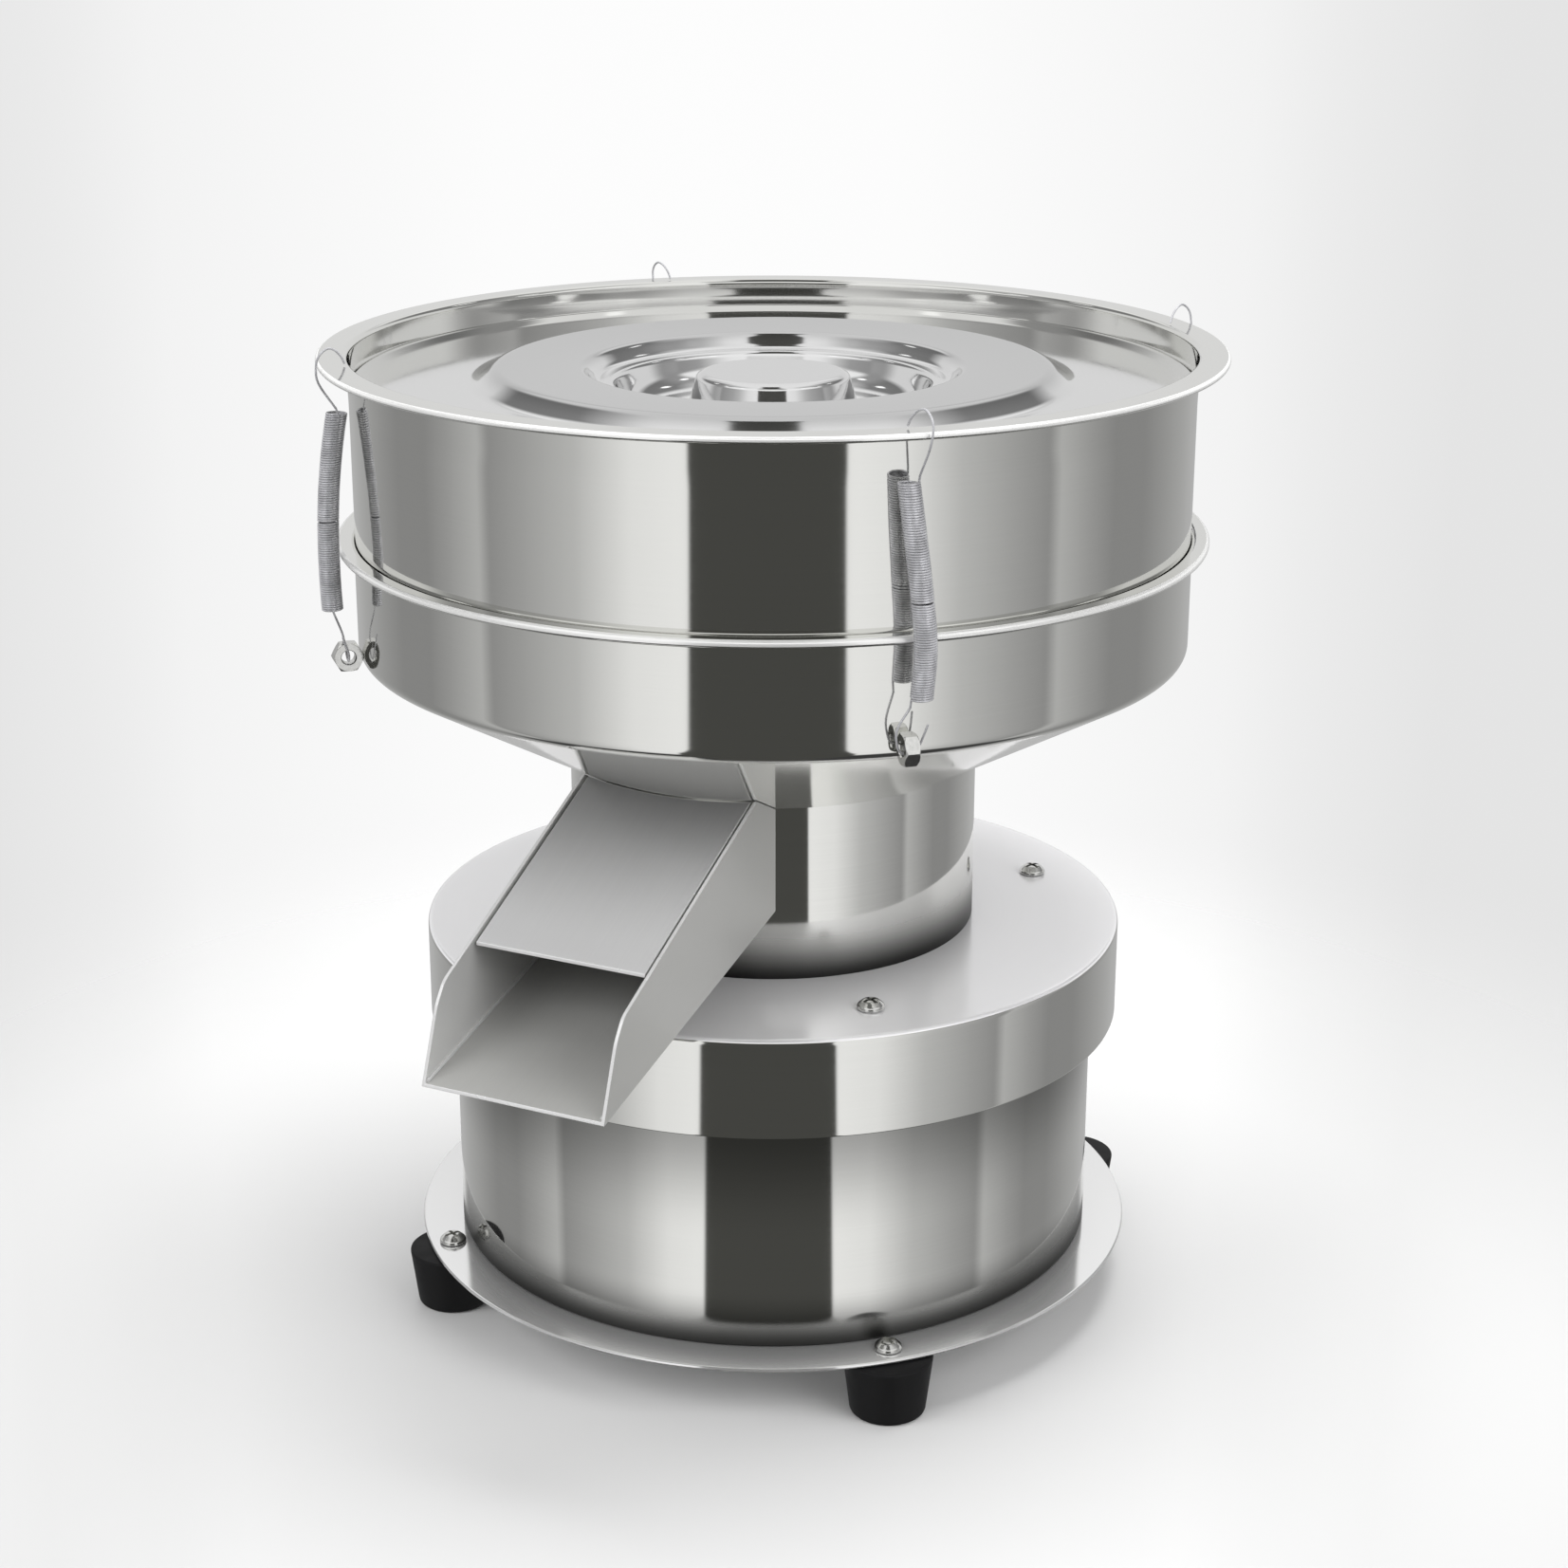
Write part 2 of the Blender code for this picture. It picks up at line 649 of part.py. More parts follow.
# Motor, hung from the cap
def add_motor(tub, rotor):
    flange_top = CAP_UNDER - GAP
    web = flange_top - BRACKET_DEPTH
    boss_r = BEARING_R + BOSS_WALL
    inner = BRACKET_R - BRACKET_SHEET
    bracket = [
        (BRACKET_R + BRACKET_FLANGE, flange_top),
        (BRACKET_R + BRACKET_FLANGE, flange_top - BRACKET_SHEET),
        (BRACKET_R, flange_top - BRACKET_SHEET),
        (BRACKET_R, web),
        (boss_r + GAP, web),
        (boss_r + GAP, web + BRACKET_SHEET),
        (inner, web + BRACKET_SHEET),
        (inner, flange_top),
    ]
    place(turned("motor_bracket", bracket, MOTOR_PAINT, segments=MOTOR_SEGMENTS), tub)

    top = web - GAP
    boss_top = top + BOSS_HEIGHT
    shaft_low = PLATE_TOP + ROTOR_FLOOR
    weight_low = shaft_low + GAP
    boss_low = weight_low + WEIGHT_HEIGHT + WEIGHT_CLEARANCE
    bottom = boss_low + BOSS_HEIGHT
    pocket = BEARING_WIDTH + GAP
    bearing_bore = BEARING_R + GAP
    housing = [
        (boss_r, boss_top),
        (boss_r, top),
        (MOTOR_R - MOTOR_BEVEL, top),
        (MOTOR_R, top - MOTOR_BEVEL),
        (MOTOR_R, bottom + MOTOR_BEVEL),
        (MOTOR_R - MOTOR_BEVEL, bottom),
        (boss_r, bottom),
        (boss_r, boss_low),
        (bearing_bore, boss_low),
        (bearing_bore, boss_low + pocket),
        (SHAFT_R + 2 * GAP, boss_low + pocket),
        (SHAFT_R + 2 * GAP, boss_top - pocket),
        (bearing_bore, boss_top - pocket),
        (bearing_bore, boss_top),
    ]
    place(turned("motor_housing", housing, MOTOR_PAINT, segments=MOTOR_SEGMENTS), tub)
    for name, low in (("upper_bearing", boss_top - BEARING_WIDTH), ("lower_bearing", boss_low)):
        ring = [
            (BEARING_R, low + BEARING_WIDTH),
            (BEARING_R, low),
            (SHAFT_R + GAP, low),
            (SHAFT_R + GAP, low + BEARING_WIDTH),
        ]
        place(turned(name, ring, SATIN, segments=MOTOR_SEGMENTS), tub)

    upper_low = boss_top + WEIGHT_CLEARANCE
    shaft_top = upper_low + WEIGHT_HEIGHT + GAP
    shaft = rod("rotor_shaft", SHAFT_R, shaft_low, shaft_top, MOTOR_SEGMENTS, SATIN)
    place(shaft, rotor)
    add_weight("upper_weight", rotor, upper_low)
    add_weight("lower_weight", rotor, weight_low)


def add_weight(name, rotor, low):
    """Half a disc with a full hub, clamped on the shaft."""
    high = low + WEIGHT_HEIGHT
    weight = rod(name, WEIGHT_R, low, high, MOTOR_SEGMENTS, CAST)
    place(weight, rotor)
    margin = WEIGHT_HEIGHT
    half = block(
        f"{name}_half",
        (-WEIGHT_R - margin, -WEIGHT_R - margin, low - margin),
        (WEIGHT_R + margin, WEIGHT_HUB_R / 3, high + margin),
        collection=CUTTERS,
    )
    hub = rod(f"{name}_hub", WEIGHT_HUB_R, low, high, MOTOR_SEGMENTS, collection=CUTTERS)
    bore = rod(
        f"{name}_bore", SHAFT_R + GAP, low - margin, high + margin, MOTOR_SEGMENTS, collection=CUTTERS
    )
    for cutter, operation in ((half, "DIFFERENCE"), (hub, "UNION"), (bore, "DIFFERENCE")):
        cutter.parent = rotor
        combine(weight, cutter, operation)


# Neck, bucket and outlet
def floor_line(reach):
    """Height of the outlet's lower side at a distance from the machine's axis."""
    return CHUTE_FLOOR_Z - (reach - NECK_R) * math.tan(CHUTE_FLOOR_ANGLE)


def top_line(reach):
    """Height of the upper edges of the outlet's side plates."""
    bend = CHUTE_END - CHUTE_MOUTH_RAKE
    height = floor_line(CHUTE_END) + CHUTE_MOUTH_HEIGHT
    return height + (bend - reach) * math.tan(CHUTE_TOP_ANGLE)


def floor_top(reach):
    return floor_line(reach) + CHUTE_SHEET / math.cos(CHUTE_FLOOR_ANGLE)


def add_neck(tub):
    top = CONE_BOTTOM + NECK_LAP
    tube = [
        (NECK_R, top),
        (NECK_R, CAP_TOP + GAP),
        (NECK_R - NECK_SHEET, CAP_TOP + GAP),
        (NECK_R - NECK_SHEET, top),
    ]
    neck = place(turned("neck", tube, POLISHED), tub)
    window = block(
        "neck_window",
        (-CHUTE_WIDTH / 2 + CHUTE_SHEET, -2 * NECK_R, floor_top(NECK_R)),
        (CHUTE_WIDTH / 2 - CHUTE_SHEET, 0, CONE_BOTTOM - NECK_WINDOW_MARGIN),
        collection=CUTTERS,
    )
    window.parent = tub
    combine(neck, window)

    radius = NECK_R - NECK_SHEET - GAP
    plate = rod("discharge_plate", radius, CAP_TOP, CONE_TOP, SEGMENTS, SATIN)
    place(plate, tub)
    slab = side_panel(
        "plate_slab",
        [
            (-2 * NECK_R, floor_line(-2 * NECK_R)),
            (2 * NECK_R, floor_line(2 * NECK_R)),
            (2 * NECK_R, floor_top(2 * NECK_R)),
            (-2 * NECK_R, floor_top(-2 * NECK_R)),
        ],
        2 * NECK_R,
        collection=CUTTERS,
    )
    slab.parent = tub
    combine(plate, slab, "INTERSECT")


def rolled_rim(wall_r, sheet_thickness, top, bend, rim_r, bead_r):
    """A wall's upper edge, bent outwards to a flat brim and rolled: its outer line and its inner one."""
    centre = (wall_r + bend, top - bend)
    meeting = math.degrees(math.asin(1 - sheet_thickness / bead_r))
    bead = arc((rim_r - bead_r, top - bead_r), bead_r, 90, -180 - meeting, 6)
    under = arc(centre, bend - sheet_thickness, 90, 180, 2)
    above = arc(centre, bend, 180, 90, 3)
    return bead + under, above


def add_bucket(tub):
    rim_outside, rim_inside = rolled_rim(
        BUCKET_INNER_R, BUCKET_SHEET, MOUTH_TOP, MOUTH_BEND, MOUTH_OUTER_R, MOUTH_BEAD_R
    )
    bend = BUCKET_BEND * math.tan(CONE_ANGLE / 2)
    outer = [
        (BUCKET_R, CONE_TOP + bend),
        (BUCKET_R - BUCKET_BEND * math.cos(CONE_ANGLE), CONE_TOP - BUCKET_BEND * math.sin(CONE_ANGLE)),
        (CONE_BOTTOM_R, CONE_BOTTOM),
    ]
    inner = [
        (CONE_BOTTOM_R, CONE_BOTTOM + BUCKET_SHEET / math.cos(CONE_ANGLE)),
        (BUCKET_INNER_R - bend, CONE_TOP + BUCKET_SHEET / 2),
        (BUCKET_INNER_R, CONE_TOP + BUCKET_SHEET + bend),
    ]
    place(turned("bucket", rim_outside + outer + inner + rim_inside, POLISHED), tub)


def chute_envelope(name, tub):
    """The space of neck and cone, which the outlet's plates are trimmed to."""
    margin = GAP / math.cos(CONE_ANGLE)
    slope = math.tan(CONE_ANGLE)
    outer_r = 1.2 * BUCKET_R
    neck_r = NECK_R + GAP
    cone_foot = CONE_BOTTOM - margin
    profile = [
        (0, 2 * CONE_TOP),
        (outer_r, 2 * CONE_TOP),
        (outer_r, cone_foot + (outer_r - neck_r) * slope),
        (neck_r, cone_foot),
        (neck_r, 0),
        (0, 0),
    ]
    return place(turned(name, profile, None, collection=CUTTERS), tub)


def add_chute(tub):
    half = CHUTE_WIDTH / 2
    start = NECK_R / 2
    bend = CHUTE_END - CHUTE_MOUTH_RAKE
    cover_end = CHUTE_END - CHUTE_MOUTH_RAKE - CHUTE_COVER_SETBACK
    outline = [
        (start, floor_line(start)),
        (CHUTE_END, floor_line(CHUTE_END)),
        (bend + CHUTE_BEND * CHUTE_MOUTH_RAKE / CHUTE_MOUTH_HEIGHT, top_line(bend) - CHUTE_BEND),
        (bend - CHUTE_BEND / 2, top_line(bend - CHUTE_BEND / 2)),
        (start, top_line(start)),
    ]
    body = side_panel("chute_body", outline, half, POLISHED)
    body.parent = tub
    reach = CHUTE_END + half
    hollow = side_panel(
        "chute_hollow",
        [
            (0, floor_top(0)),
            (reach, floor_top(reach)),
            (reach, top_line(0)),
            (0, 2 * top_line(0)),
        ],
        half - CHUTE_SHEET,
        collection=CUTTERS,
    )
    hollow.parent = tub
    combine(body, hollow)
    combine(body, chute_envelope("body_trim", tub))

    lift = CHUTE_SHEET / math.cos(CHUTE_TOP_ANGLE)
    drop = lift + CHUTE_SHEET / 2
    cover = side_panel(
        "chute_cover",
        [
            (start, top_line(start) - drop),
            (cover_end, top_line(cover_end) - drop),
            (cover_end, top_line(cover_end) - drop + lift),
            (start, top_line(start) - drop + lift),
        ],
        half - CHUTE_SHEET - GAP,
        POLISHED,
    )
    cover.parent = tub
    combine(cover, chute_envelope("cover_trim", tub))


# Sieve and lid
def add_sieve(sieve):
    outer_r = SIEVE_R + SIEVE_SHEET
    inner_r = SPIGOT_R - SIEVE_SHEET
    rim_outside, rim_inside = rolled_rim(
        SIEVE_R + SIEVE_TAPER, SIEVE_SHEET, RIM_TOP, RIM_BEND, RIM_R, RIM_BEAD_R
    )
    wall = [
        (outer_r, RIM_TOP - TAPER_HEIGHT),
        (outer_r, SHOULDER_Z),
        (SPIGOT_R, SHOULDER_Z - SPIGOT_STEP),
        (SPIGOT_R, SIEVE_BOTTOM),
        (inner_r - MESH_LIP, SIEVE_BOTTOM),
        (inner_r - MESH_LIP, SIEVE_BOTTOM + SIEVE_SHEET),
        (inner_r, SIEVE_BOTTOM + SIEVE_SHEET),
        (inner_r, SHOULDER_Z - SPIGOT_STEP / 2),
        (SIEVE_R, SHOULDER_Z + SPIGOT_STEP / 2),
        (SIEVE_R, RIM_TOP - TAPER_HEIGHT),
    ]
    place(turned("sieve_ring", rim_outside + wall + rim_inside, POLISHED), sieve)

    mesh_r = inner_r - GAP
    mesh_low = SIEVE_BOTTOM + SIEVE_SHEET + GAP
    mesh_high = mesh_low + MESH_THICKNESS
    mesh = rod("sieve_mesh", mesh_r, mesh_low, mesh_high, SEGMENTS, SATIN)
    place(mesh, sieve)
    clamp_low = mesh_high + GAP
    clamp = [
        (mesh_r, clamp_low + CLAMP_HEIGHT),
        (mesh_r, clamp_low),
        (mesh_r - CLAMP_WIDTH, clamp_low),
        (mesh_r - CLAMP_WIDTH, clamp_low + CLAMP_HEIGHT),
    ]
    place(turned("mesh_clamp_ring", clamp, SATIN), sieve)


def lid_edge_radius():
    """The lid's edge is held where the sieve's tapered wall narrows to it."""
    rise = LID_EDGE_Z - LID_SHEET - (RIM_TOP - TAPER_HEIGHT)
    return SIEVE_R + SIEVE_TAPER * rise / (TAPER_HEIGHT - RIM_BEND) - GAP


def add_lid(lid):
    edge_r = lid_edge_radius()
    flat_z = LID_EDGE_Z - LID_BAND_DROP
    ring_top_r = LID_RING_R - LID_RING_SLOPE
    ring_z = flat_z + LID_RING_HEIGHT
    plateau_z = ring_z - LID_DISH
    ledge_r = LID_WELL_R - LID_WELL_SLOPE
    ledge_z = plateau_z - LID_WELL_DEPTH
    bowl_r = ledge_r - LID_LEDGE
    floor_z = ledge_z - BOWL_DEPTH
    bowl_width = bowl_r - BOSS_R
    top = [
        (0, ledge_z + BOSS_RISE),
        (BOSS_R - BOSS_EDGE, ledge_z + BOSS_RISE),
        (BOSS_R, ledge_z + BOSS_RISE - BOSS_EDGE / 2),
        (BOSS_R + 0.12 * bowl_width, floor_z + 0.25 * BOWL_DEPTH),
        (BOSS_R + 0.45 * bowl_width, floor_z),
        (bowl_r - 0.12 * bowl_width, floor_z + 0.30 * BOWL_DEPTH),
        (bowl_r, ledge_z),
        (ledge_r, ledge_z),
        (LID_WELL_R, plateau_z),
        (ring_top_r, ring_z),
        (LID_RING_R, flat_z),
        (edge_r - LID_RIM - LID_BAND, flat_z),
        (edge_r - LID_RIM, LID_EDGE_Z),
        (edge_r, LID_EDGE_Z),
    ]
    place(turned("lid", sheet(top, LID_SHEET), POLISHED), lid)


# Spring hooks
def hook_points():
    """The wire's route, from its free end to its tip, in the frame of its nut.

    X runs outwards, Y along the nut's hole and Z up.
    """
    half_nut = NUT_WIDTH / 2
    side = half_nut + 3 * HOOK_WIRE_R
    rise = NUT_FLATS / 2
    start_x = COIL_R + HOOK_WIRE_R + COIL_STAND
    lower = [
        (0, side + rise / 3, HOOK_TAIL),
        (0, side, 0.4 * HOOK_TAIL),
        (0, half_nut, 0),
        (0, -half_nut, 0),
        (0, -side, 0.4 * HOOK_TAIL),
        (start_x / 2, COIL_SIDE_LOW - COIL_R, COIL_START - COIL_R),
    ]
    bead_x = MOUTH_OUTER_R + COIL_R + HOOK_WIRE_R + COIL_CLEARANCE - NUT_R
    bead_z = MOUTH_TOP - MOUTH_BEAD_R - NUT_Z
    top_x = SIEVE_R + SIEVE_SHEET + COIL_R + COIL_LEAN - NUT_R
    bow = (bead_z - COIL_START) / COIL_LENGTH
    bulge = (bead_x - start_x - (top_x - start_x) * bow) / (bow * (1 - bow))
    coil = []
    count = COIL_TURNS * COIL_POINTS
    for i in range(count + 1):
        along = i / count
        centre_x = start_x + (top_x - start_x) * along + bulge * along * (1 - along)
        centre_y = COIL_SIDE_LOW + (COIL_SIDE_HIGH - COIL_SIDE_LOW) * along
        turn = 2 * math.pi * i / COIL_POINTS - math.pi / 2
        level = COIL_START + COIL_LENGTH * along
        coil.append(
            Vector((centre_x + COIL_R * math.cos(turn), centre_y + COIL_R * math.sin(turn), level))
        )
    rim_x = RIM_R - NUT_R
    rim_z = RIM_TOP - NUT_Z
    side_x = rim_x + HOOK_WIRE_R + 4 * GAP
    upper = [
        (side_x, 0, rim_z - RIM_BEAD_R),
        (side_x - HOOK_WIRE_R, 0, rim_z + 0.6 * HOOK_LOOP_RISE),
        (rim_x - 0.25 * HOOK_REACH, 0, rim_z + HOOK_LOOP_RISE),
        (rim_x - 0.70 * HOOK_REACH, 0, rim_z + 0.5 * HOOK_LOOP_RISE),
        (rim_x - HOOK_REACH, 0, rim_z + HOOK_WIRE_R + GAP),
    ]
    return [Vector(p) for p in lower] + coil + smooth_line(upper, 2)


def add_hooks(tub):
    across_corners = NUT_FLATS / math.sqrt(3)
    points = hook_points()
    for number, corner in enumerate(CORNERS, 1):
        angle = corner + HOOK_TURN
        pivot = make_empty(f"hook_pivot_{number}", tub, around(NUT_R, angle, NUT_Z), angle)
        nut = rod(f"hook_nut_{number}", across_corners, -NUT_WIDTH / 2, NUT_WIDTH / 2, 6, SATIN)
        hole = rod(
            f"nut_hole_{number}", NUT_HOLE_R, -NUT_WIDTH, NUT_WIDTH, SMALL_SEGMENTS, collection=CUTTERS
        )
        for obj in (nut, hole):
            obj.parent = pivot
            obj.rotation_euler = (math.pi / 2, 0, 0)
        combine(nut, hole)
        wire(f"spring_hook_{number}", points, HOOK_WIRE_R, SPRING, pivot)


# Assembly
def build():
    base = make_empty("base_axis")
    tub = make_empty("vibration_axis", base)
    rotor = make_empty("rotor_axis", tub)
    sieve = make_empty("sieve_axis", tub)
    lid = make_empty("lid_axis", sieve)
    add_base_plate(base)
    add_feet(base)
    add_drum(base)
    add_deck(base)
    add_springs(base)
    add_switch(base)
    add_gland(base)
    add_cap(tub)
    add_motor(tub, rotor)
    add_neck(tub)
    add_bucket(tub)
    add_chute(tub)
    add_sieve(sieve)
    add_lid(lid)
    add_hooks(tub)


build()
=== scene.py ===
"""Looks of the bench-top vibrating sieve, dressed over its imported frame.

Metres, +Z up, the outlet towards -Y. The origin is the centre of the pressed
panel under the base plate.
"""
import math

import bmesh
import bpy
from mathutils import Matrix, Vector


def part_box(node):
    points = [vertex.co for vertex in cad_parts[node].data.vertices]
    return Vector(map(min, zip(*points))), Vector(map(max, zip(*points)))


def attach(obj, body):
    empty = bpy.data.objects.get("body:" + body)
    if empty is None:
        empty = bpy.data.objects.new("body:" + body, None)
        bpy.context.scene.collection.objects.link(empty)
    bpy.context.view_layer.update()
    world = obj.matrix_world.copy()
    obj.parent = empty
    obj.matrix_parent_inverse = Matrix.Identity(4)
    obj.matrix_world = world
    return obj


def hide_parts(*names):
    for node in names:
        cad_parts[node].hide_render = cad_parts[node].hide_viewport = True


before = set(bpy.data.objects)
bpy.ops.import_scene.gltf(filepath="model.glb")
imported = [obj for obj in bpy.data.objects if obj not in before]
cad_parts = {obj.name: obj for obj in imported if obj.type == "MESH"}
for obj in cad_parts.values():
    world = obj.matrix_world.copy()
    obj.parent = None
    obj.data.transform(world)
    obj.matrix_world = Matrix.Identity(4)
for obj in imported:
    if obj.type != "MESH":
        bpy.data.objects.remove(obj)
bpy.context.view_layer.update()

# View
VIEW_TURN = math.radians(26.5)
TO_CAMERA = Vector((math.sin(VIEW_TURN), -math.cos(VIEW_TURN), 0))
TO_RIGHT = Vector((math.cos(VIEW_TURN), math.sin(VIEW_TURN), 0))
CAMERA_DISTANCE = 1.0302
CAMERA_HEIGHT = 0.5206
CAMERA_PITCH = math.radians(18.62)
CAMERA_SHIFT = 0.00696
CAMERA_LENS = 66.46
CAMERA_SENSOR = 36.0

# Floor
FLOOR_Z = -0.0203
FLOOR_TONE = 0.77
FLOOR_RADII = (0, 0.05, 2.2)
FLOOR_SEGMENTS = 64
FLOOR_FADE = (0.23, 0.56)

# Light of the studio, by the direction it comes from. The bands and the backdrop pair
# an angle in degrees with a level. The other tables and the ranges go by a direction's
# front, side or height, which is its share towards the camera, to the right or up.
BAND_CENTRE = math.radians(-1.4)
LIGHT_BANDS = (
    (0, 0.95), (23.5, 0.95), (36, 0.88), (52, 0.55), (69, 0.39), (79, 0.31),
    (83, 0.50), (95, 0.36), (104, 0.28), (118, 0.28), (136, 0.38), (155, 0.46), (180, 0.46),
)
UPPER_HEIGHT = (0.10, 0.45)
FLANKS = ((0.0, 0.95), (0.20, 0.86), (0.38, 0.53), (0.55, 0.36), (1.0, 0.30))
BACK_FRONT = (-0.35, -0.05)
BACK_HEIGHT = (-0.05, 0.08)
BACK_LEVELS = ((0.0, 0.76), (0.34, 0.76), (0.46, 0.20), (0.75, 0.24), (0.90, 0.80), (1.0, 0.95))
BACK_CENTRE_LEVEL = 0.92
BACK_CENTRE_SIDE = (0.25, 0.42)
BACK_CENTRE_HEIGHT = (0.34, 0.46)
NADIR_LEVEL = 0.05
NADIR_HEIGHT = (-0.82, -0.72)
NADIR_FRONT = (-0.30, -0.10)
SCREEN_LEVEL = 0.068
SCREEN_BLUE = 0.93
SCREEN_SIDE = -0.023
SCREEN_HALVES = ((0.0, 0.10), (0.25, 0.15), (0.50, 0.30), (0.70, 0.345), (0.90, 0.338))
SCREEN_EDGE = (-0.010, 0.010)
SCREEN_FRONT = -0.30
FRONT_LAMP = ((0.40, 0.0), (0.48, 1.0), (0.76, 1.0), (0.84, 0.0))
FRONT_LAMP_LEVEL = 1.0
FRONT_LAMP_FRONT = (0.05, 0.20)
SPOTS = 10
SPOT_HEIGHT = math.radians(42)
SPOT_SIZE = math.radians(3.5)
SPOT_CORE = 0.8
SPOT_SIDE = 0.45
SPOT_LEVEL = 1.5
BACKDROP = ((0, 0.98), (4.0, 0.975), (8.0, 0.93), (10.5, 0.895), (12.3, 0.83), (14.8, 0.778))
BACKDROP_CENTRE = math.radians(-1.3)

# Lamps: name, place, size and power
LAMPS = (
    ("soft_top", (0.03, 0.36, 1.85), 1.2, 29),
    ("soft_left", (-0.75, -1.05, 0.80), 0.9, 7.5),
    ("soft_right", (1.25, -0.35, 0.80), 0.9, 7.5),
)
LAMP_AIM = Vector((0, 0, 0.15))

# Turned pieces and sheets
SEGMENTS = 192
SMALL_SEGMENTS = 48
GAP = 0.0003
MERGE_DISTANCE = 1e-7
SHEET_BEND = 0.0006
CORNER_GUARD = 1.2
EDGE_STEPS = 4
# The part of a rolled rim's bead that gets a painted highlight: how far in and down it reaches, in
# bead radii, and the heights of normal it faces
BEAD_REACH = 1.2
BEAD_DEPTH = 2.2
BEAD_FACING = (-0.30, 0.97)

# Base
PLATE_SHEET = 0.0016
PLATE_TOP = 0.0036
PLATE_R = 0.1360
PAN_R = 0.0950
FOOT_CIRCLE_R = 0.1285
FOOT_TOP_Z = 0.0017
FOOT_TOP_R = 0.01625
FOOT_BOTTOM_R = 0.0135
DRUM_R = 0.1213
DRUM_SHEET = 0.0012
DRUM_TOP = 0.1040
DRUM_FLANGE = 0.0130
FOOT_ROUNDING = (0.0010, 0.0018)
SWITCH_TURN = math.radians(28)
SWITCH_HALF = 0.0083
SWITCH_MARGIN = 0.0022
GLAND_HOLE_R = 0.0078
GLAND_Z = 0.0266
WALL_CUT = (0.10, 0.13)

# Cap and neck
CAP_R = 0.1305
CAP_SHEET = 0.0015
CAP_TOP = 0.1255
CAP_EDGE = 0.0020
SKIRT_BOTTOM = 0.0897
SCREW_CIRCLE_R = 0.1070
NECK_R = 0.0755
NECK_SHEET = 0.0012
NECK_OVERLAP = 0.0015
NECK_WINDOW_DROP = 0.0030
CONE_BOTTOM = 0.1900

# Bucket
CONE_BOTTOM_R = 0.0758
CONE_TOP = 0.2320
BUCKET_SHEET = 0.0010
BUCKET_INNER_R = 0.1505
BUCKET_R = 0.1515
MOUTH_TOP = 0.2737
MOUTH_BEND = 0.0025
MOUTH_OUTER_R = 0.1576
MOUTH_BEAD_R = 0.0015
CONE_BEND = 0.0030
CONE_INNER_BEND = 0.0028
CONE_INNER_FOOT = 1.1
CONE_INNER_TOP = 0.6

# Sieve
SIEVE_R = 0.1500
SIEVE_SHEET = 0.0010
SPIGOT_R = 0.1499
SHOULDER_Z = 0.27316
SHOULDER_DROP = 0.0011
SHOULDER_INNER_DROP = 0.0005
SHOULDER_INNER_RISE = 0.0006
SIEVE_BOTTOM = 0.25086
MESH_LIP_R = 0.1459
MESH_Z = 0.25216
MESH_THICKNESS = 0.0006
MESH_R = 0.1486
CLAMP_INNER_R = 0.1440
CLAMP_HEIGHT = 0.0050
RIM_TOP = 0.33926
RIM_R = 0.1620
RIM_BEND = 0.0020
RIM_BEAD_R = 0.0012
SIEVE_TAPER = 0.0006
TAPER_HEIGHT = 0.0160
SIEVE_ROUNDING = (0.0030, 0.0004, 0.0004, 0.0008)
CLAMP_ROUNDING = (0.0008, 0.0012, 0.0006, 0.0006)

# Lid
LID_SHEET = 0.0010
LID_EDGE_R = 0.14993
LID_EDGE_Z = 0.32916
LID_FLAT_Z = 0.32756
RING_OUTER_R = 0.1073
RING_TOP_R = 0.0994
RING_Z = 0.33286
WELL_R = 0.0677
WELL_Z = 0.33196
LEDGE_R = 0.0635
LEDGE_Z = 0.32676
BOWL_R = 0.0567
BOWL_Z = 0.31226
BOSS_R = 0.0275
BOSS_EDGE = 0.0024
BOSS_Z = 0.32976
LID_ROUNDING = (
    0.0009, 0.0010, 0.0030, 0.0036, 0.0050, 0.0016, 0.0018, 0.0018, 0.0022, 0.0024, 0.0020, 0.0008,
)

# Outlet
CHUTE_HALF = 0.0346
CHUTE_SHEET = 0.0012
CHUTE_START = NECK_R / 2
CHUTE_END = 0.1911
CHUTE_BEND_R = 0.1794
COVER_END_R = 0.1584
FLOOR_AT_NECK = 0.1496
FLOOR_SLOPE = math.tan(math.radians(14.3))
TOP_SLOPE = math.tan(math.radians(25.0))
MOUTH_HEIGHT = 0.0313
CHUTE_CORNER = 0.0060
CHUTE_ROUNDING = (0.0008, 0.0025, 0.0025)
PLATE_EDGE = 0.0003
COVER_GAP = 0.0008
SEAM_R = 0.0007
SEAM_START = 0.0040
SEAM_STOP = 0.0015

# Spring hooks and their nuts
CORNERS = (-45, 45, 135, 225)
HOOK_TURN = -2.5
NUT_R = 0.1568
NUT_Z = 0.2360
NUT_FLATS = 0.0100
NUT_WIDTH = 0.0050
NUT_HOLE_R = 0.0025
NUT_FACE = 0.87
NUT_OVER = 1.02
NUT_SIDE = 0.68
NUT_SINK = 0.0020
NUT_BORE = 0.80
WIRE_R = 0.0004
COIL_R = 0.00345
COIL_TURNS = 84
COIL_POINTS = 16
COIL_START = 0.0180
COIL_LENGTH = 0.0690
COIL_CLEARANCE = 0.0007
COIL_STAND = 0.0010
COIL_LEAN = 0.0020
COIL_SIDES = (0.0025, 0.0034, 0.0020, 0.0003, -0.0012)
COIL_SEAM = 0.0005
COIL_SEAM_AT = 0.455
COIL_SEAM_RUN = 0.01
HOOK_LOOP_RISE = 0.0066
LINE_STEPS = 5

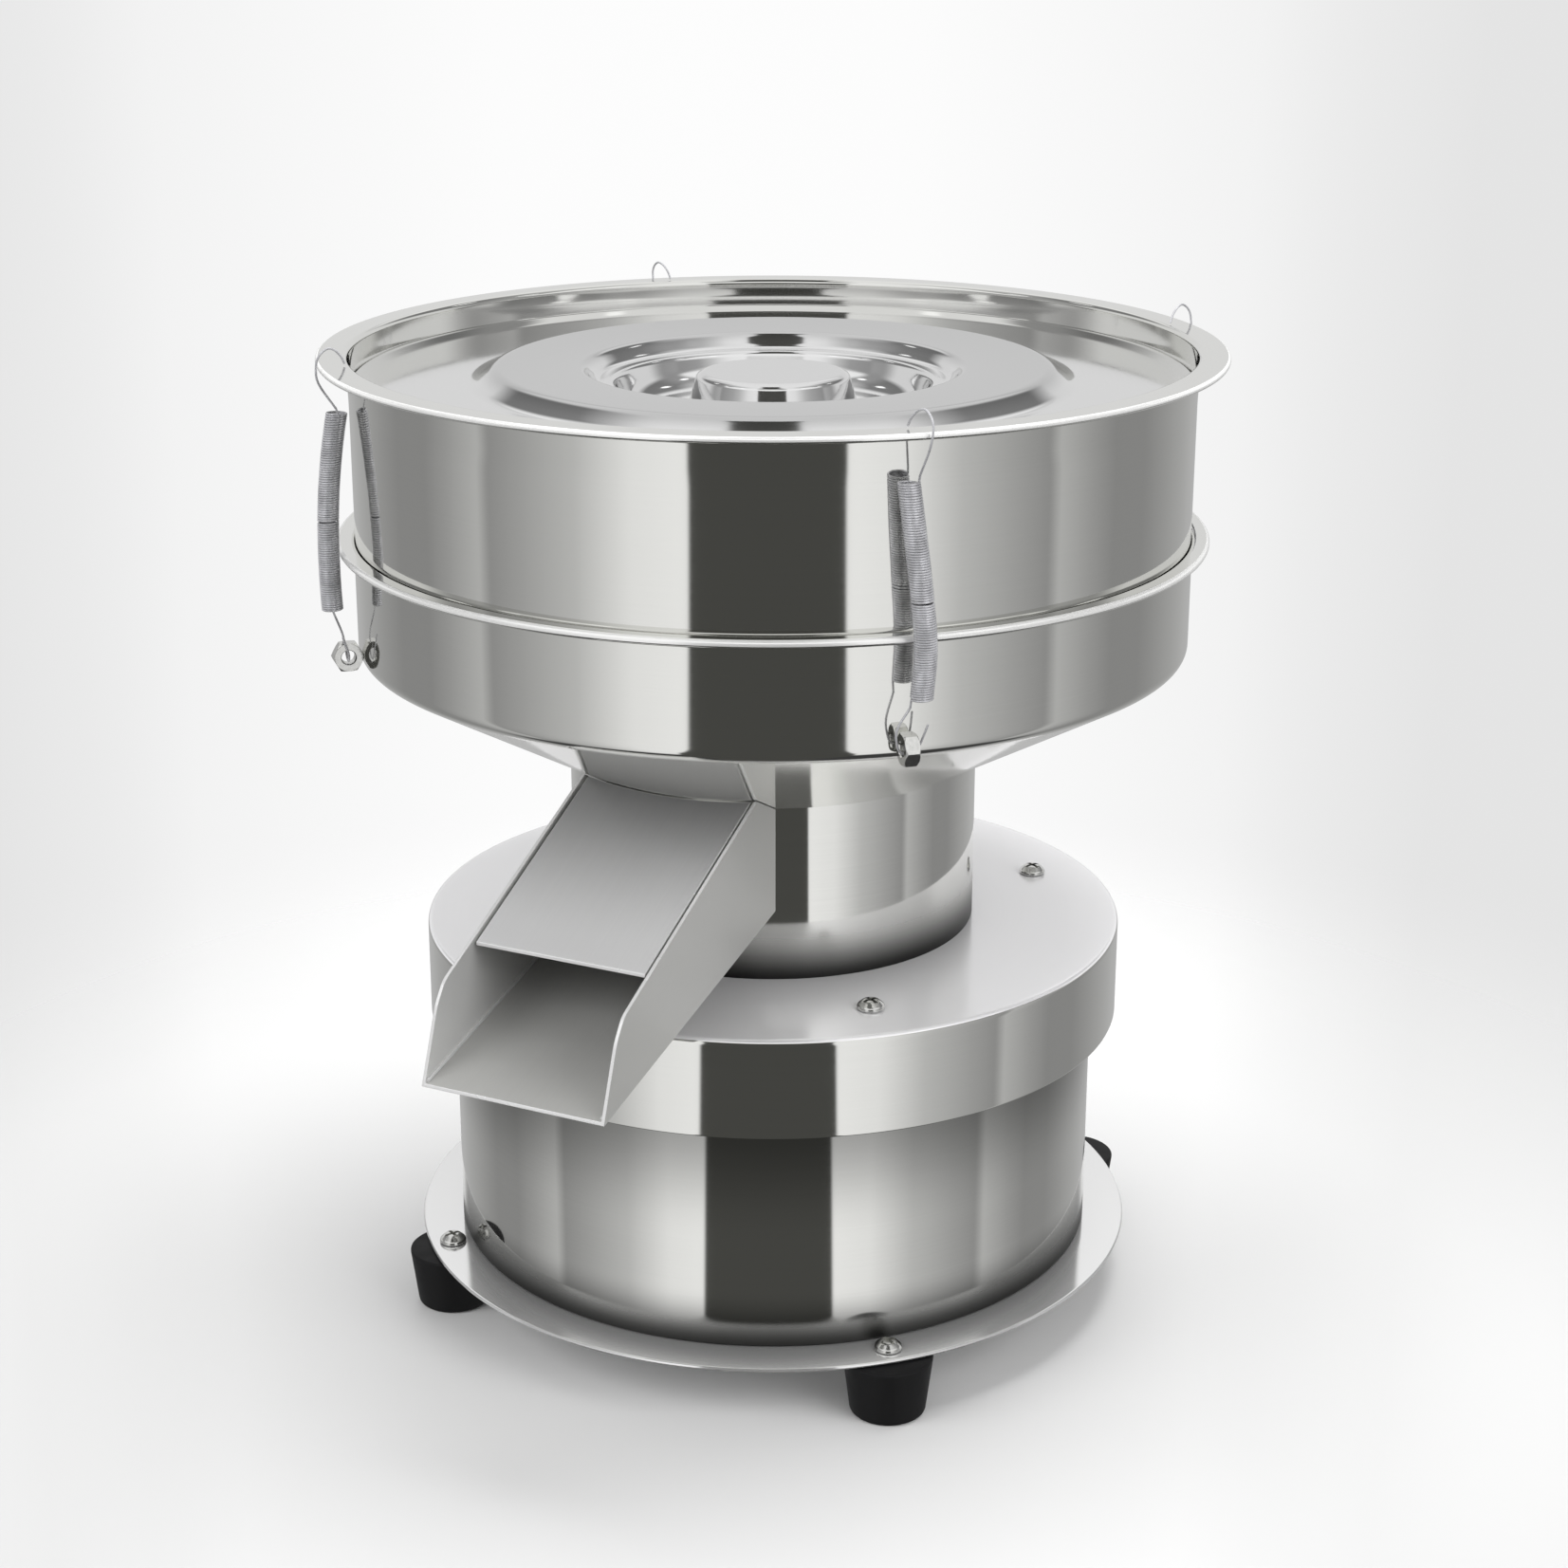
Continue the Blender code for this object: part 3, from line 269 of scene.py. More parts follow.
# Screws
SCREW_R = 0.0025
SCREW_HEAD_R = 0.0050
SCREW_HEAD = 0.0030
SCREW_SHANK = 0.0070
SCREW_ROUNDING = (0.0010, 0.0008, 0.0001, 0, 0.0004)
RECESS_TURN = 0.3
RECESS_REACH = 0.62
RECESS_HALF = 0.13
RECESS_FLOOR = 0.45

# Materials: the range that holds most of a noise, a Mix node's colour sockets, and depths
NOISE_RANGE = (0.3, 0.7)
NOISE_ROUGHNESS = 0.55
MIX_FIRST = 6
MIX_SECOND = 7
MIX_RESULT = 2
GRAIN_DEPTH = 0.00002


# Profiles, as (radius, height) pairs
def soften(points, cuts, steps=6):
    """Round the inner corners of a line, each cut back by its own length."""
    corners = [Vector(p) for p in points]
    line = [corners[0]]
    for before, corner, after, cut in zip(corners, corners[1:], corners[2:], cuts):
        if cut == 0:
            line.append(corner)
            continue
        back = (before - corner).normalized()
        ahead = (after - corner).normalized()
        start = corner + back * cut
        end = corner + ahead * cut
        line.append(corner + back * cut * CORNER_GUARD)
        for i in range(steps + 1):
            s = i / steps
            line.append(start * (1 - s) ** 2 + corner * 2 * s * (1 - s) + end * s * s)
        line.append(corner + ahead * cut * CORNER_GUARD)
    line.append(corners[-1])
    return line


def arc(centre, radius, start, stop, steps):
    """Points of an arc, with its angles in degrees."""
    angles = [math.radians(start + (stop - start) * i / steps) for i in range(steps + 1)]
    return [
        Vector((centre[0] + radius * math.cos(a), centre[1] + radius * math.sin(a)))
        for a in angles
    ]


def sheet(line, thickness):
    """Closed section of a sheet whose outer side is the line, with rounded edges."""
    points = [Vector(p) for p in line]
    normals = []
    for a, b in zip(points, points[1:]):
        run = (b - a).normalized()
        normals.append(Vector((run.y, -run.x)))
    inner = []
    for i, point in enumerate(points):
        before = normals[max(i - 1, 0)]
        after = normals[min(i, len(normals) - 1)]
        shifted = point + (before + after) / (1 + before.dot(after)) * thickness
        inner.append(Vector((max(shifted.x, 0.0), shifted.y)))
    section = list(points)
    section += round_edge(points[-1], inner[-1], points[-1] - points[-2])
    section += list(reversed(inner))
    if points[0].x > 0:
        section += round_edge(inner[0], points[0], points[0] - points[1])
    return section


def round_edge(start, stop, outwards):
    """The half circle between the two sides of a sheet."""
    middle = (start + stop) / 2
    half = (start - stop).length / 2
    side = (start - stop).normalized()
    out = outwards.normalized()
    turns = [math.pi * i / EDGE_STEPS for i in range(1, EDGE_STEPS)]
    return [middle + side * half * math.cos(t) + out * half * math.sin(t) for t in turns]


# Meshes
def finish_mesh(mesh, sharp=40):
    edit = bmesh.new()
    edit.from_mesh(mesh)
    bmesh.ops.remove_doubles(edit, verts=edit.verts, dist=MERGE_DISTANCE)
    bmesh.ops.recalc_face_normals(edit, faces=edit.faces)
    edit.to_mesh(mesh)
    edit.free()
    mesh.shade_smooth()
    mesh.set_sharp_from_angle(angle=math.radians(sharp))
    return mesh


def new_object(name, data):
    obj = bpy.data.objects.new(name, data)
    bpy.context.scene.collection.objects.link(obj)
    return obj


def lathe(name, section, segments=SEGMENTS, matrix=None):
    """Turn a section about Z. A section that ends on the axis is open, any other is closed."""
    points = [Vector(p) for p in section]
    closed = points[0].x > MERGE_DISTANCE
    verts = []
    for i in range(segments):
        a = 2 * math.pi * i / segments
        verts += [(p.x * math.cos(a), p.x * math.sin(a), p.y) for p in points]
    count = len(points)
    spans = count if closed else count - 1
    faces = []
    for i in range(segments):
        this = i * count
        after = (i + 1) % segments * count
        for j in range(spans):
            k = (j + 1) % count
            faces.append((this + j, this + k, after + k, after + j))
    mesh = bpy.data.meshes.new(name)
    mesh.from_pydata(verts, [], faces)
    if matrix:
        mesh.transform(matrix)
    return new_object(name, finish_mesh(mesh))


def box(name, low, high, matrix=None):
    mesh = bpy.data.meshes.new(name)
    edit = bmesh.new()
    bmesh.ops.create_cube(edit, size=1.0)
    size = Vector(high) - Vector(low)
    bmesh.ops.scale(edit, vec=size, verts=edit.verts)
    bmesh.ops.translate(edit, vec=(Vector(high) + Vector(low)) / 2, verts=edit.verts)
    edit.to_mesh(mesh)
    edit.free()
    if matrix:
        mesh.transform(matrix)
    return new_object(name, mesh)


def panel(name, outline, low_x, high_x):
    """A flat plate: an outline of (reach, height) pairs, with -Y as the reach."""
    mesh = bpy.data.meshes.new(name)
    edit = bmesh.new()
    face = edit.faces.new([edit.verts.new((low_x, -u, z)) for u, z in outline])
    grown = bmesh.ops.extrude_face_region(edit, geom=[face])
    far = [v for v in grown["geom"] if isinstance(v, bmesh.types.BMVert)]
    bmesh.ops.translate(edit, vec=(high_x - low_x, 0, 0), verts=far)
    bmesh.ops.recalc_face_normals(edit, faces=edit.faces)
    edit.to_mesh(mesh)
    edit.free()
    return new_object(name, mesh)


def combine(target, other, operation="DIFFERENCE"):
    """Cut a piece with another, or keep what both share."""
    boolean = target.modifiers.new("combine", "BOOLEAN")
    boolean.operation = operation
    boolean.object = other
    boolean.solver = "EXACT"
    apply_modifiers(target)
    bpy.data.objects.remove(other, do_unlink=True)


def evaluated_mesh(obj):
    graph = bpy.context.evaluated_depsgraph_get()
    graph.update()
    return bpy.data.meshes.new_from_object(obj.evaluated_get(graph))


def apply_modifiers(obj):
    result = evaluated_mesh(obj)
    obj.modifiers.clear()
    obj.data = result


def round_corners(obj):
    bevel = obj.modifiers.new("edges", "BEVEL")
    bevel.width = PLATE_EDGE
    bevel.segments = 3
    bevel.limit_method = "ANGLE"
    bevel.angle_limit = math.radians(30)
    bevel.harden_normals = True
    apply_modifiers(obj)


def even_normals(obj):
    """Let broad faces keep their own normals, so that reflections stay straight on them."""
    weighted = obj.modifiers.new("normals", "WEIGHTED_NORMAL")
    weighted.keep_sharp = True
    apply_modifiers(obj)


def tube(name, points, radius):
    """A round wire along the points."""
    curve = bpy.data.curves.new(name, "CURVE")
    curve.dimensions = "3D"
    curve.bevel_depth = radius
    curve.bevel_resolution = 2
    curve.use_fill_caps = True
    spline = curve.splines.new("POLY")
    spline.points.add(len(points) - 1)
    for target, point in zip(spline.points, points):
        target.co = (*point, 1.0)
    drawn = new_object(name, curve)
    mesh = evaluated_mesh(drawn)
    bpy.data.objects.remove(drawn, do_unlink=True)
    bpy.data.curves.remove(curve)
    return new_object(name, finish_mesh(mesh, 60))


def smooth_line(anchors, steps):
    """Points of a Catmull-Rom curve through the anchors."""
    points = [Vector(a) for a in anchors]
    padded = [2 * points[0] - points[1]] + points + [2 * points[-1] - points[-2]]
    line = []
    for p0, p1, p2, p3 in zip(padded, padded[1:], padded[2:], padded[3:]):
        for i in range(steps):
            t = i / steps
            line.append(
                0.5 * (2 * p1 + (p2 - p0) * t + (2 * p0 - 5 * p1 + 4 * p2 - p3) * t * t
                       + (3 * p1 - p0 - 3 * p2 + p3) * t ** 3)
            )
    line.append(points[-1])
    return line


def around(radius, angle, height):
    """The place and turn of a piece on a circle about the machine's axis."""
    turn = math.radians(angle)
    place = Matrix.Translation((radius * math.cos(turn), radius * math.sin(turn), height))
    return place @ Matrix.Rotation(turn, 4, "Z")


# Materials
def grey(level):
    return (level, level, level)


def shaded(tone, factor):
    """A tone made darker or lighter."""
    return tuple(min(c * factor, 1) for c in tone)


class Shader:
    """A material's nodes, with short calls to add and join them."""

    def __init__(self, name, colour, roughness, metallic):
        self.material = bpy.data.materials.new(name)
        self.material.use_nodes = True
        self.tree = self.material.node_tree
        self.surface = self.tree.nodes["Principled BSDF"]
        self.surface.inputs["Base Color"].default_value = (*colour, 1)
        self.surface.inputs["Roughness"].default_value = roughness
        self.surface.inputs["Metallic"].default_value = metallic
        self.place = self.node("ShaderNodeTexCoord").outputs["Object"]

    def node(self, kind, **values):
        made = self.tree.nodes.new(kind)
        for name, value in values.items():
            setattr(made, name, value)
        return made

    def link(self, source, target):
        self.tree.links.new(source, target)

    def fill(self, made, values):
        """Set or join a node's inputs in their order, and give its first output."""
        for socket, value in zip(made.inputs, values):
            if isinstance(value, (int, float)):
                socket.default_value = value
            else:
                self.link(value, socket)
        return made.outputs[0]

    def math(self, operation, *values):
        return self.fill(self.node("ShaderNodeMath", operation=operation), values)

    def vector(self, *values):
        return self.fill(self.node("ShaderNodeCombineXYZ"), values)

    def parts(self):
        made = self.node("ShaderNodeSeparateXYZ")
        self.link(self.place, made.inputs[0])
        return made.outputs

    def scaled(self, scale):
        made = self.node("ShaderNodeMapping")
        made.inputs["Scale"].default_value = scale
        self.link(self.place, made.inputs["Vector"])
        return made.outputs[0]

    def length(self, x, y):
        squares = self.math("ADD", self.math("MULTIPLY", x, x), self.math("MULTIPLY", y, y))
        return self.math("SQRT", squares)

    def towards(self, x, y, direction):
        """How far a place or a ray goes in a level direction."""
        along_x = self.math("MULTIPLY", x, direction.x)
        along_y = self.math("MULTIPLY", y, direction.y)
        return self.math("ADD", along_x, along_y)

    def blend(self, first, second, share):
        """A sum of two values, of which the first has the share."""
        first_part = self.math("MULTIPLY", first, share)
        second_part = self.math("MULTIPLY", second, 1 - share)
        return self.math("ADD", first_part, second_part)

    def ring_place(self, across, along):
        """Coordinates for a grain that runs round the machine's axis."""
        x, y, z = self.parts()
        level = self.math("MULTIPLY", self.math("ADD", self.length(x, y), z), across)
        return self.vector(self.math("MULTIPLY", x, along), self.math("MULTIPLY", y, along), level)

    def noise(self, vector, detail):
        made = self.node("ShaderNodeTexNoise")
        made.inputs["Scale"].default_value = 1.0
        made.inputs["Detail"].default_value = detail
        made.inputs["Roughness"].default_value = NOISE_ROUGHNESS
        self.link(vector, made.inputs["Vector"])
        return made.outputs["Fac"]

    def ramp(self, value, stops):
        made = self.node("ShaderNodeValToRGB")
        elements = made.color_ramp.elements
        while len(elements) < len(stops):
            elements.new(0.5)
        for element, (position, level) in zip(elements, stops):
            colour = level if isinstance(level, tuple) else grey(level)
            element.position = position
            element.color = (*colour, 1)
        self.link(value, made.inputs[0])
        return made.outputs["Color"]

    def mottle(self, value, tone, low, high, limits=NOISE_RANGE):
        """A tone times low where the value is small, up to the tone times high."""
        start, stop = limits
        return self.ramp(value, ((start, shaded(tone, low)), (stop, shaded(tone, high))))

    def spread(self, value, low, high, start=0.0, stop=1.0):
        """Turn a value between start and stop into one between low and high."""
        made = self.node("ShaderNodeMapRange", interpolation_type="SMOOTHSTEP")
        limits = (("From Min", start), ("From Max", stop), ("To Min", low), ("To Max", high))
        for name, number in limits:
            made.inputs[name].default_value = number
        self.link(value, made.inputs["Value"])
        return made.outputs["Result"]

    def rise(self, value, limits):
        return self.spread(value, 0.0, 1.0, *limits)

    def fall(self, value, limits):
        return self.spread(value, 1.0, 0.0, *limits)

    def multiply(self, colour, factor):
        made = self.node("ShaderNodeMix", data_type="RGBA", blend_type="MULTIPLY")
        made.inputs["Factor"].default_value = 1.0
        self.link(colour, made.inputs[MIX_FIRST])
        self.link(factor, made.inputs[MIX_SECOND])
        return made.outputs[MIX_RESULT]

    def bump(self, height, strength, distance):
        made = self.node("ShaderNodeBump")
        made.inputs["Strength"].default_value = strength
        made.inputs["Distance"].default_value = distance
        self.link(height, made.inputs["Height"])
        self.link(made.outputs["Normal"], self.surface.inputs["Normal"])

    def use(self, value, socket):
        self.link(value, self.surface.inputs[socket])

    def vary_roughness(self, value, low, high, limits=NOISE_RANGE):
        self.use(self.spread(value, low, high, *limits), "Roughness")


def turned_steel(
    name, tone, roughness, streak=0.02, grain=0.02, shades=(), metallic=1.0, dull=None
):
    """Spun stainless sheet: fine rings of grain, faint clouds, painted shade and a duller foot.

    Shades and dull are (start, stop, level), with two heights. A shade is painted shade: it
    multiplies the tone by its level at the first height. Dull is the least roughness there. Both
    fade out towards the second height.
    """
    shader = Shader(name, tone, roughness, metallic)
    rings = shader.noise(shader.ring_place(across=2600, along=7), detail=2.0)
    clouds = shader.noise(shader.scaled((9, 9, 14)), detail=4.0)
    mixed = shader.blend(rings, clouds, 0.6)
    colour = shader.mottle(mixed, tone, 1 - streak, 1 + streak)
    # Painted shade: each shade darkens the tone towards its first height
    for start, stop, level in shades:
        shade = shader.spread(shader.parts()[2], level, 1.0, start, stop)
        colour = shader.multiply(colour, shade)
    shader.use(colour, "Base Color")
    finish = shader.spread(mixed, roughness * 0.85, roughness * 1.15, *NOISE_RANGE)
    if dull:
        start, stop, level = dull
        least = shader.spread(shader.parts()[2], level, 0.0, start, stop)
        finish = shader.math("MAXIMUM", finish, least)
    shader.use(finish, "Roughness")
    shader.bump(rings, grain, GRAIN_DEPTH)
    return shader.material


def flat_steel(
    name, tone, roughness, direction=(900, 6, 6), grain=0.02, metallic=1.0, shade=None
):
    """Sheet with a straight grain. A shade is painted shade, as (start, stop, level) by reach from
    the axis.
    """
    shader = Shader(name, tone, roughness, metallic)
    lines = shader.noise(shader.scaled(direction), detail=2.0)
    clouds = shader.noise(shader.scaled((14, 14, 14)), detail=4.0)
    mixed = shader.blend(lines, clouds, 0.5)
    colour = shader.mottle(mixed, tone, 0.97, 1.03)
    # Painted shade: darkest at the first reach, gone at the second
    if shade:
        start, stop, level = shade
        reach = shader.math("MULTIPLY", shader.parts()[1], -1.0)
        colour = shader.multiply(colour, shader.spread(reach, level, 1.0, start, stop))
    shader.use(colour, "Base Color")
    shader.vary_roughness(mixed, roughness * 0.85, roughness * 1.15)
    shader.bump(lines, grain, GRAIN_DEPTH)
    return shader.material


def plated(name, tone, roughness):
    """Small plated pieces: an even tone with fine wear."""
    shader = Shader(name, tone, roughness, 1.0)
    wear = shader.noise(shader.scaled((700, 700, 700)), detail=4.0)
    shader.use(shader.mottle(wear, tone, 0.86, 1.0, (0.35, 0.65)), "Base Color")
    shader.vary_roughness(wear, roughness * 0.8, roughness * 1.4, (0.35, 0.65))
    shader.bump(wear, 0.05, 0.00005)
    return shader.material


def spring_wire(name, tone, roughness):
    """Drawn wire: a fine skin and darker patches of oil."""
    shader = Shader(name, tone, roughness, 0.55)
    patches = shader.noise(shader.scaled((260, 260, 120)), detail=3.0)
    shader.use(shader.mottle(patches, tone, 0.72, 1.0, (0.35, 0.62)), "Base Color")
    shader.vary_roughness(patches, roughness * 1.3, roughness * 0.8, (0.35, 0.65))
    skin = shader.noise(shader.scaled((2400, 2400, 2400)), detail=2.0)
    shader.bump(skin, 0.08, 0.00003)
    return shader.material


def moulded(name, tone, roughness, pitch, depth):
    """Rubber or plastic: a fine moulded skin with a faint bloom."""
    shader = Shader(name, tone, roughness, 0.0)
    shader.surface.inputs["Specular IOR Level"].default_value = 0.25
    skin = shader.noise(shader.scaled((pitch, pitch, pitch)), detail=3.0)
    bloom = shader.noise(shader.scaled((90, 90, 60)), detail=4.0)
    shader.use(shader.mottle(bloom, tone, 1.0, 1.35, (0.35, 0.7)), "Base Color")
    shader.vary_roughness(bloom, roughness * 0.88, roughness * 1.1)
    shader.bump(skin, 0.25, depth)
    return shader.material


def cast(name, tone, roughness):
    """Painted or raw castings: a coarse skin."""
    shader = Shader(name, tone, roughness, 0.4)
    skin = shader.noise(shader.scaled((420, 420, 420)), detail=5.0)
    shader.use(shader.mottle(skin, tone, 0.8, 1.25), "Base Color")
    shader.vary_roughness(skin, roughness * 0.85, roughness * 1.1)
    shader.bump(skin, 0.35, 0.0002)
    return shader.material


def woven_mesh(name, tone, pitch):
    """Woven wire: crossing wires over and under each other, with painted shade in the holes
    between.
    """
    shader = Shader(name, tone, 0.35, 1.0)
    x, y, _ = shader.parts()
    turn = 2 * math.pi / pitch
    across = shader.math("SINE", shader.math("MULTIPLY", x, turn))
    along = shader.math("SINE", shader.math("MULTIPLY", y, turn))
    bars_x = shader.math("ABSOLUTE", across)
    bars_y = shader.math("ABSOLUTE", along)
    height = shader.math("MAXIMUM", bars_x, bars_y)
    # Painted shade: the low places between the wires go dark
    shader.use(shader.mottle(height, tone, 0.12, 1.0, (0.45, 0.62)), "Base Color")
    weave = shader.math("MULTIPLY", across, along)
    shader.vary_roughness(weave, 0.28, 0.45, (-1.0, 1.0))
    relief = shader.math("ADD", height, shader.math("MULTIPLY", weave, 0.3))
    shader.bump(relief, 0.6, 0.0002)
    return shader.material


POLISHED = (0.80, 0.80, 0.775)
MIRROR = 0.055
# Painted shade: the drum darker at its foot and near its top, under the cap's skirt
DRUM_PAINTED_SHADES = ((PLATE_TOP, 0.026, 0.06), (0.092, 0.044, 0.42))
DRUM_DULL = (PLATE_TOP + 0.003, PLATE_TOP + 0.014, 0.45)
# Painted shade: the neck darker at its foot, above the cap
NECK_PAINTED_SHADES = ((CAP_TOP, CAP_TOP + 0.022, 0.04),)
NECK_DULL = (CAP_TOP + 0.008, CAP_TOP + 0.026, 0.42)
# Painted shade: the lid darker the higher it stands above its flats, most on its raised ring
LID_PAINTED_SHADES = ((RING_Z, LID_FLAT_Z + 0.0010, 0.70),)
# Painted shade: the outlet's cover darker towards the neck, under the bucket
COVER_PAINTED_SHADE = (0.086, 0.150, 0.46)
WALL = turned_steel("polished_wall", POLISHED, MIRROR, streak=0.012, grain=0.012)
DRUM_WALL = turned_steel("drum_wall", POLISHED, MIRROR, shades=DRUM_PAINTED_SHADES, dull=DRUM_DULL)
NECK_WALL = turned_steel("neck_wall", POLISHED, MIRROR, shades=NECK_PAINTED_SHADES, dull=NECK_DULL)
LID_STEEL = turned_steel("lid_steel", grey(0.80), 0.09, streak=0.01, shades=LID_PAINTED_SHADES)
CAP_STEEL = turned_steel(
    "cap_steel", (0.97, 0.965, 0.98), 0.17, streak=0.006, grain=0.005, metallic=0.40
)
PLATE_STEEL = turned_steel("plate_steel", grey(0.88), 0.10, streak=0.006, grain=0.0, metallic=0.78)
# Painted light: a lighter, less metallic copy of the polished steel for the underside of the
# bucket's cone
CONE_PAINTED_LIGHT_STEEL = turned_steel(
    "cone_steel_painted_light", (0.96, 0.96, 0.93), 0.09, streak=0.01, grain=0.0, metallic=0.85
)
# Painted highlight for the rolled rims' beads: a lighter, less metallic copy of the polished steel
BEAD_HIGHLIGHT_STEEL = turned_steel(
    "bead_steel_painted_highlight", (0.95, 0.95, 0.94), 0.22, streak=0.006, grain=0.0, metallic=0.45
)
CHUTE_STEEL = flat_steel("chute_steel", (0.52, 0.52, 0.505), 0.34, metallic=0.40)
COVER_STEEL = flat_steel(
    "cover_steel", (0.69, 0.69, 0.695), 0.34, metallic=0.40, shade=COVER_PAINTED_SHADE
)
# Painted light: a lighter copy of the outlet's steel for the inner side of its left plate
INNER_PAINTED_LIGHT_STEEL = flat_steel("inner_steel_painted_light", (0.74, 0.74, 0.73), 0.34, metallic=0.40)
# Painted highlight along the outlet's plate edges and seams: a lighter copy of its steel
EDGE_HIGHLIGHT_STEEL = flat_steel("edge_steel_painted_highlight", grey(0.80), 0.26, (60, 60, 60), grain=0.0, metallic=0.4)
RING_STEEL = turned_steel("ring_steel", (0.70, 0.70, 0.69), 0.28, grain=0.05)
MESH_STEEL = woven_mesh("mesh_steel", (0.62, 0.62, 0.61), 0.0024)
PLATED = plated("plated_steel", (0.74, 0.74, 0.72), 0.16)
WIRE = spring_wire("spring_wire_steel", (0.75, 0.75, 0.78), 0.34)
RUBBER = moulded("rubber_black", (0.006, 0.006, 0.0065), 0.60, 1800, 0.0001)
PLASTIC = moulded("plastic_black", (0.020, 0.020, 0.021), 0.38, 3000, 0.00006)
MOTOR = cast("motor_paint_grey", (0.12, 0.15, 0.17), 0.5)
IRON = cast("weight_iron", (0.17, 0.165, 0.16), 0.62)


def piece(obj, body, material, slot, *nodes):
    """Give a piece its material and let it ride on its body, in place of CAD nodes."""
    even_normals(obj)
    obj.data.materials.clear()
    obj.data.materials.append(material)
    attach(obj, body)
    if nodes:
        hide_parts(*nodes)


def second_material(obj, material, chosen):
    """Give the chosen faces of a piece a second material."""
    number = len(obj.data.materials)
    obj.data.materials.append(material)
    for face in obj.data.polygons:
        if chosen(face):
            face.material_index = number


def standing(face):
    """Whether a face is of an upright wall."""
    return abs(face.normal.z) < 0.5


def under_cone(face):
    """Whether a face is of the bucket's lower side."""
    return face.center.z < CONE_TOP - 0.001 and face.normal.z < -0.5


def inner_left(face):
    """Whether a face is the inner side of the outlet's left plate."""
    return face.normal.x > 0.9 and face.center.x < 0


def paint_edge_highlights(obj, width):
    """Give the narrow faces along a plate's edges a painted highlight."""
    vertices = obj.data.vertices

    def narrow(face):
        corners = [vertices[i].co for i in face.vertices]
        outline = sum((a - b).length for a, b in zip(corners, corners[1:] + corners[:1]))
        return 2 * face.area / outline < width

    second_material(obj, EDGE_HIGHLIGHT_STEEL, narrow)


def paint_bead_highlight(obj, top, rim_r, bead_r):
    """Give the upper and outer side of a rolled rim a painted highlight, in a lighter, less
    metallic steel.
    """
    lowest = top - BEAD_DEPTH * bead_r
    innermost = rim_r - BEAD_REACH * bead_r
    down, up = BEAD_FACING

    def on_bead(face):
        outwards = math.hypot(face.center.x, face.center.y) - innermost
        return outwards > 0 and face.center.z > lowest and down < face.normal.z < up

    second_material(obj, BEAD_HIGHLIGHT_STEEL, on_bead)


def carried_over(node, material):
    """A CAD node that keeps its shape and takes a better material."""
    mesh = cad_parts[node].data
    mesh.materials.clear()
    mesh.materials.append(material)


# Base
def add_base():
    slope = PLATE_SHEET + GAP
    plate_line = soften(
        [(0, PLATE_SHEET), (PAN_R, PLATE_SHEET), (PAN_R + slope, PLATE_TOP), (PLATE_R, PLATE_TOP)],
        (SHEET_BEND, SHEET_BEND),
    )
    plate = lathe("base_plate_sheet", sheet(plate_line, PLATE_SHEET))
    piece(plate, "base", PLATE_STEEL, "brushed_steel", "base_plate")

    bottom = PLATE_TOP + GAP
    drum_line = soften(
        [(DRUM_R, DRUM_TOP), (DRUM_R, bottom), (DRUM_R - DRUM_FLANGE, bottom)],
        (SHEET_BEND,),
    )
    drum = lathe("drum_shell", sheet(drum_line, DRUM_SHEET))
    combine(drum, switch_window())
    combine(drum, gland_hole())
    finish_mesh(drum.data)
    piece(drum, "base", DRUM_WALL, "polished_steel", "base_drum")

    foot_line = soften(
        [(0, FOOT_TOP_Z), (FOOT_TOP_R, FOOT_TOP_Z), (FOOT_BOTTOM_R, FLOOR_Z), (0, FLOOR_Z)],
        FOOT_ROUNDING,
    )
    for number, angle in enumerate(CORNERS, 1):
        place = around(FOOT_CIRCLE_R, angle, 0)
        foot = lathe(f"rubber_foot_{number}", foot_line, SMALL_SEGMENTS, place)
        piece(foot, "base", RUBBER, "rubber", f"foot_{number}")
        place = around(FOOT_CIRCLE_R, angle, PLATE_TOP + GAP)
        screw = pan_screw(f"foot_pan_screw_{number}", PLATE_SHEET + SCREW_SHANK, place)
        piece(screw, "base", PLATED, "zinc_steel", f"foot_screw_{number}")


def switch_window():
    low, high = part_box("switch_bezel")
    middle = (high.z + low.z) / 2
    half_z = (high.z - low.z) / 2 - SWITCH_MARGIN
    near, far = WALL_CUT
    return box(
        "switch_window",
        (-SWITCH_HALF, near, middle - half_z),
        (SWITCH_HALF, far, middle + half_z),
        Matrix.Rotation(SWITCH_TURN, 4, "Z"),
    )


def gland_hole():
    near, far = WALL_CUT
    section = [(0, far), (GLAND_HOLE_R, far), (GLAND_HOLE_R, near), (0, near)]
    to_back = Matrix.Translation((0, 0, GLAND_Z)) @ Matrix.Rotation(-math.pi / 2, 4, "X")
    return lathe("gland_hole", section, SMALL_SEGMENTS, to_back)


def pan_screw(name, shank, place):
    """A pan head screw with a cross recess."""
    line = soften(
        [
            (0, SCREW_HEAD),
            (0.55 * SCREW_HEAD_R, SCREW_HEAD),
            (SCREW_HEAD_R, 0.35 * SCREW_HEAD),
            (SCREW_HEAD_R, 0),
            (SCREW_R, 0),
            (SCREW_R, -shank),
            (0, -shank),
        ],
        SCREW_ROUNDING,
    )
    screw = lathe(name, line, SMALL_SEGMENTS)
    arm = RECESS_REACH * SCREW_HEAD_R
    half = RECESS_HALF * SCREW_HEAD_R
    depth = RECESS_FLOOR * SCREW_HEAD
    for turn in (RECESS_TURN, RECESS_TURN + math.pi / 2):
        spin = Matrix.Rotation(turn, 4, "Z")
        combine(screw, box("slot", (-arm, -half, depth), (arm, half, 2 * SCREW_HEAD), spin))
    screw.data.transform(place)
    finish_mesh(screw.data)
    return screw


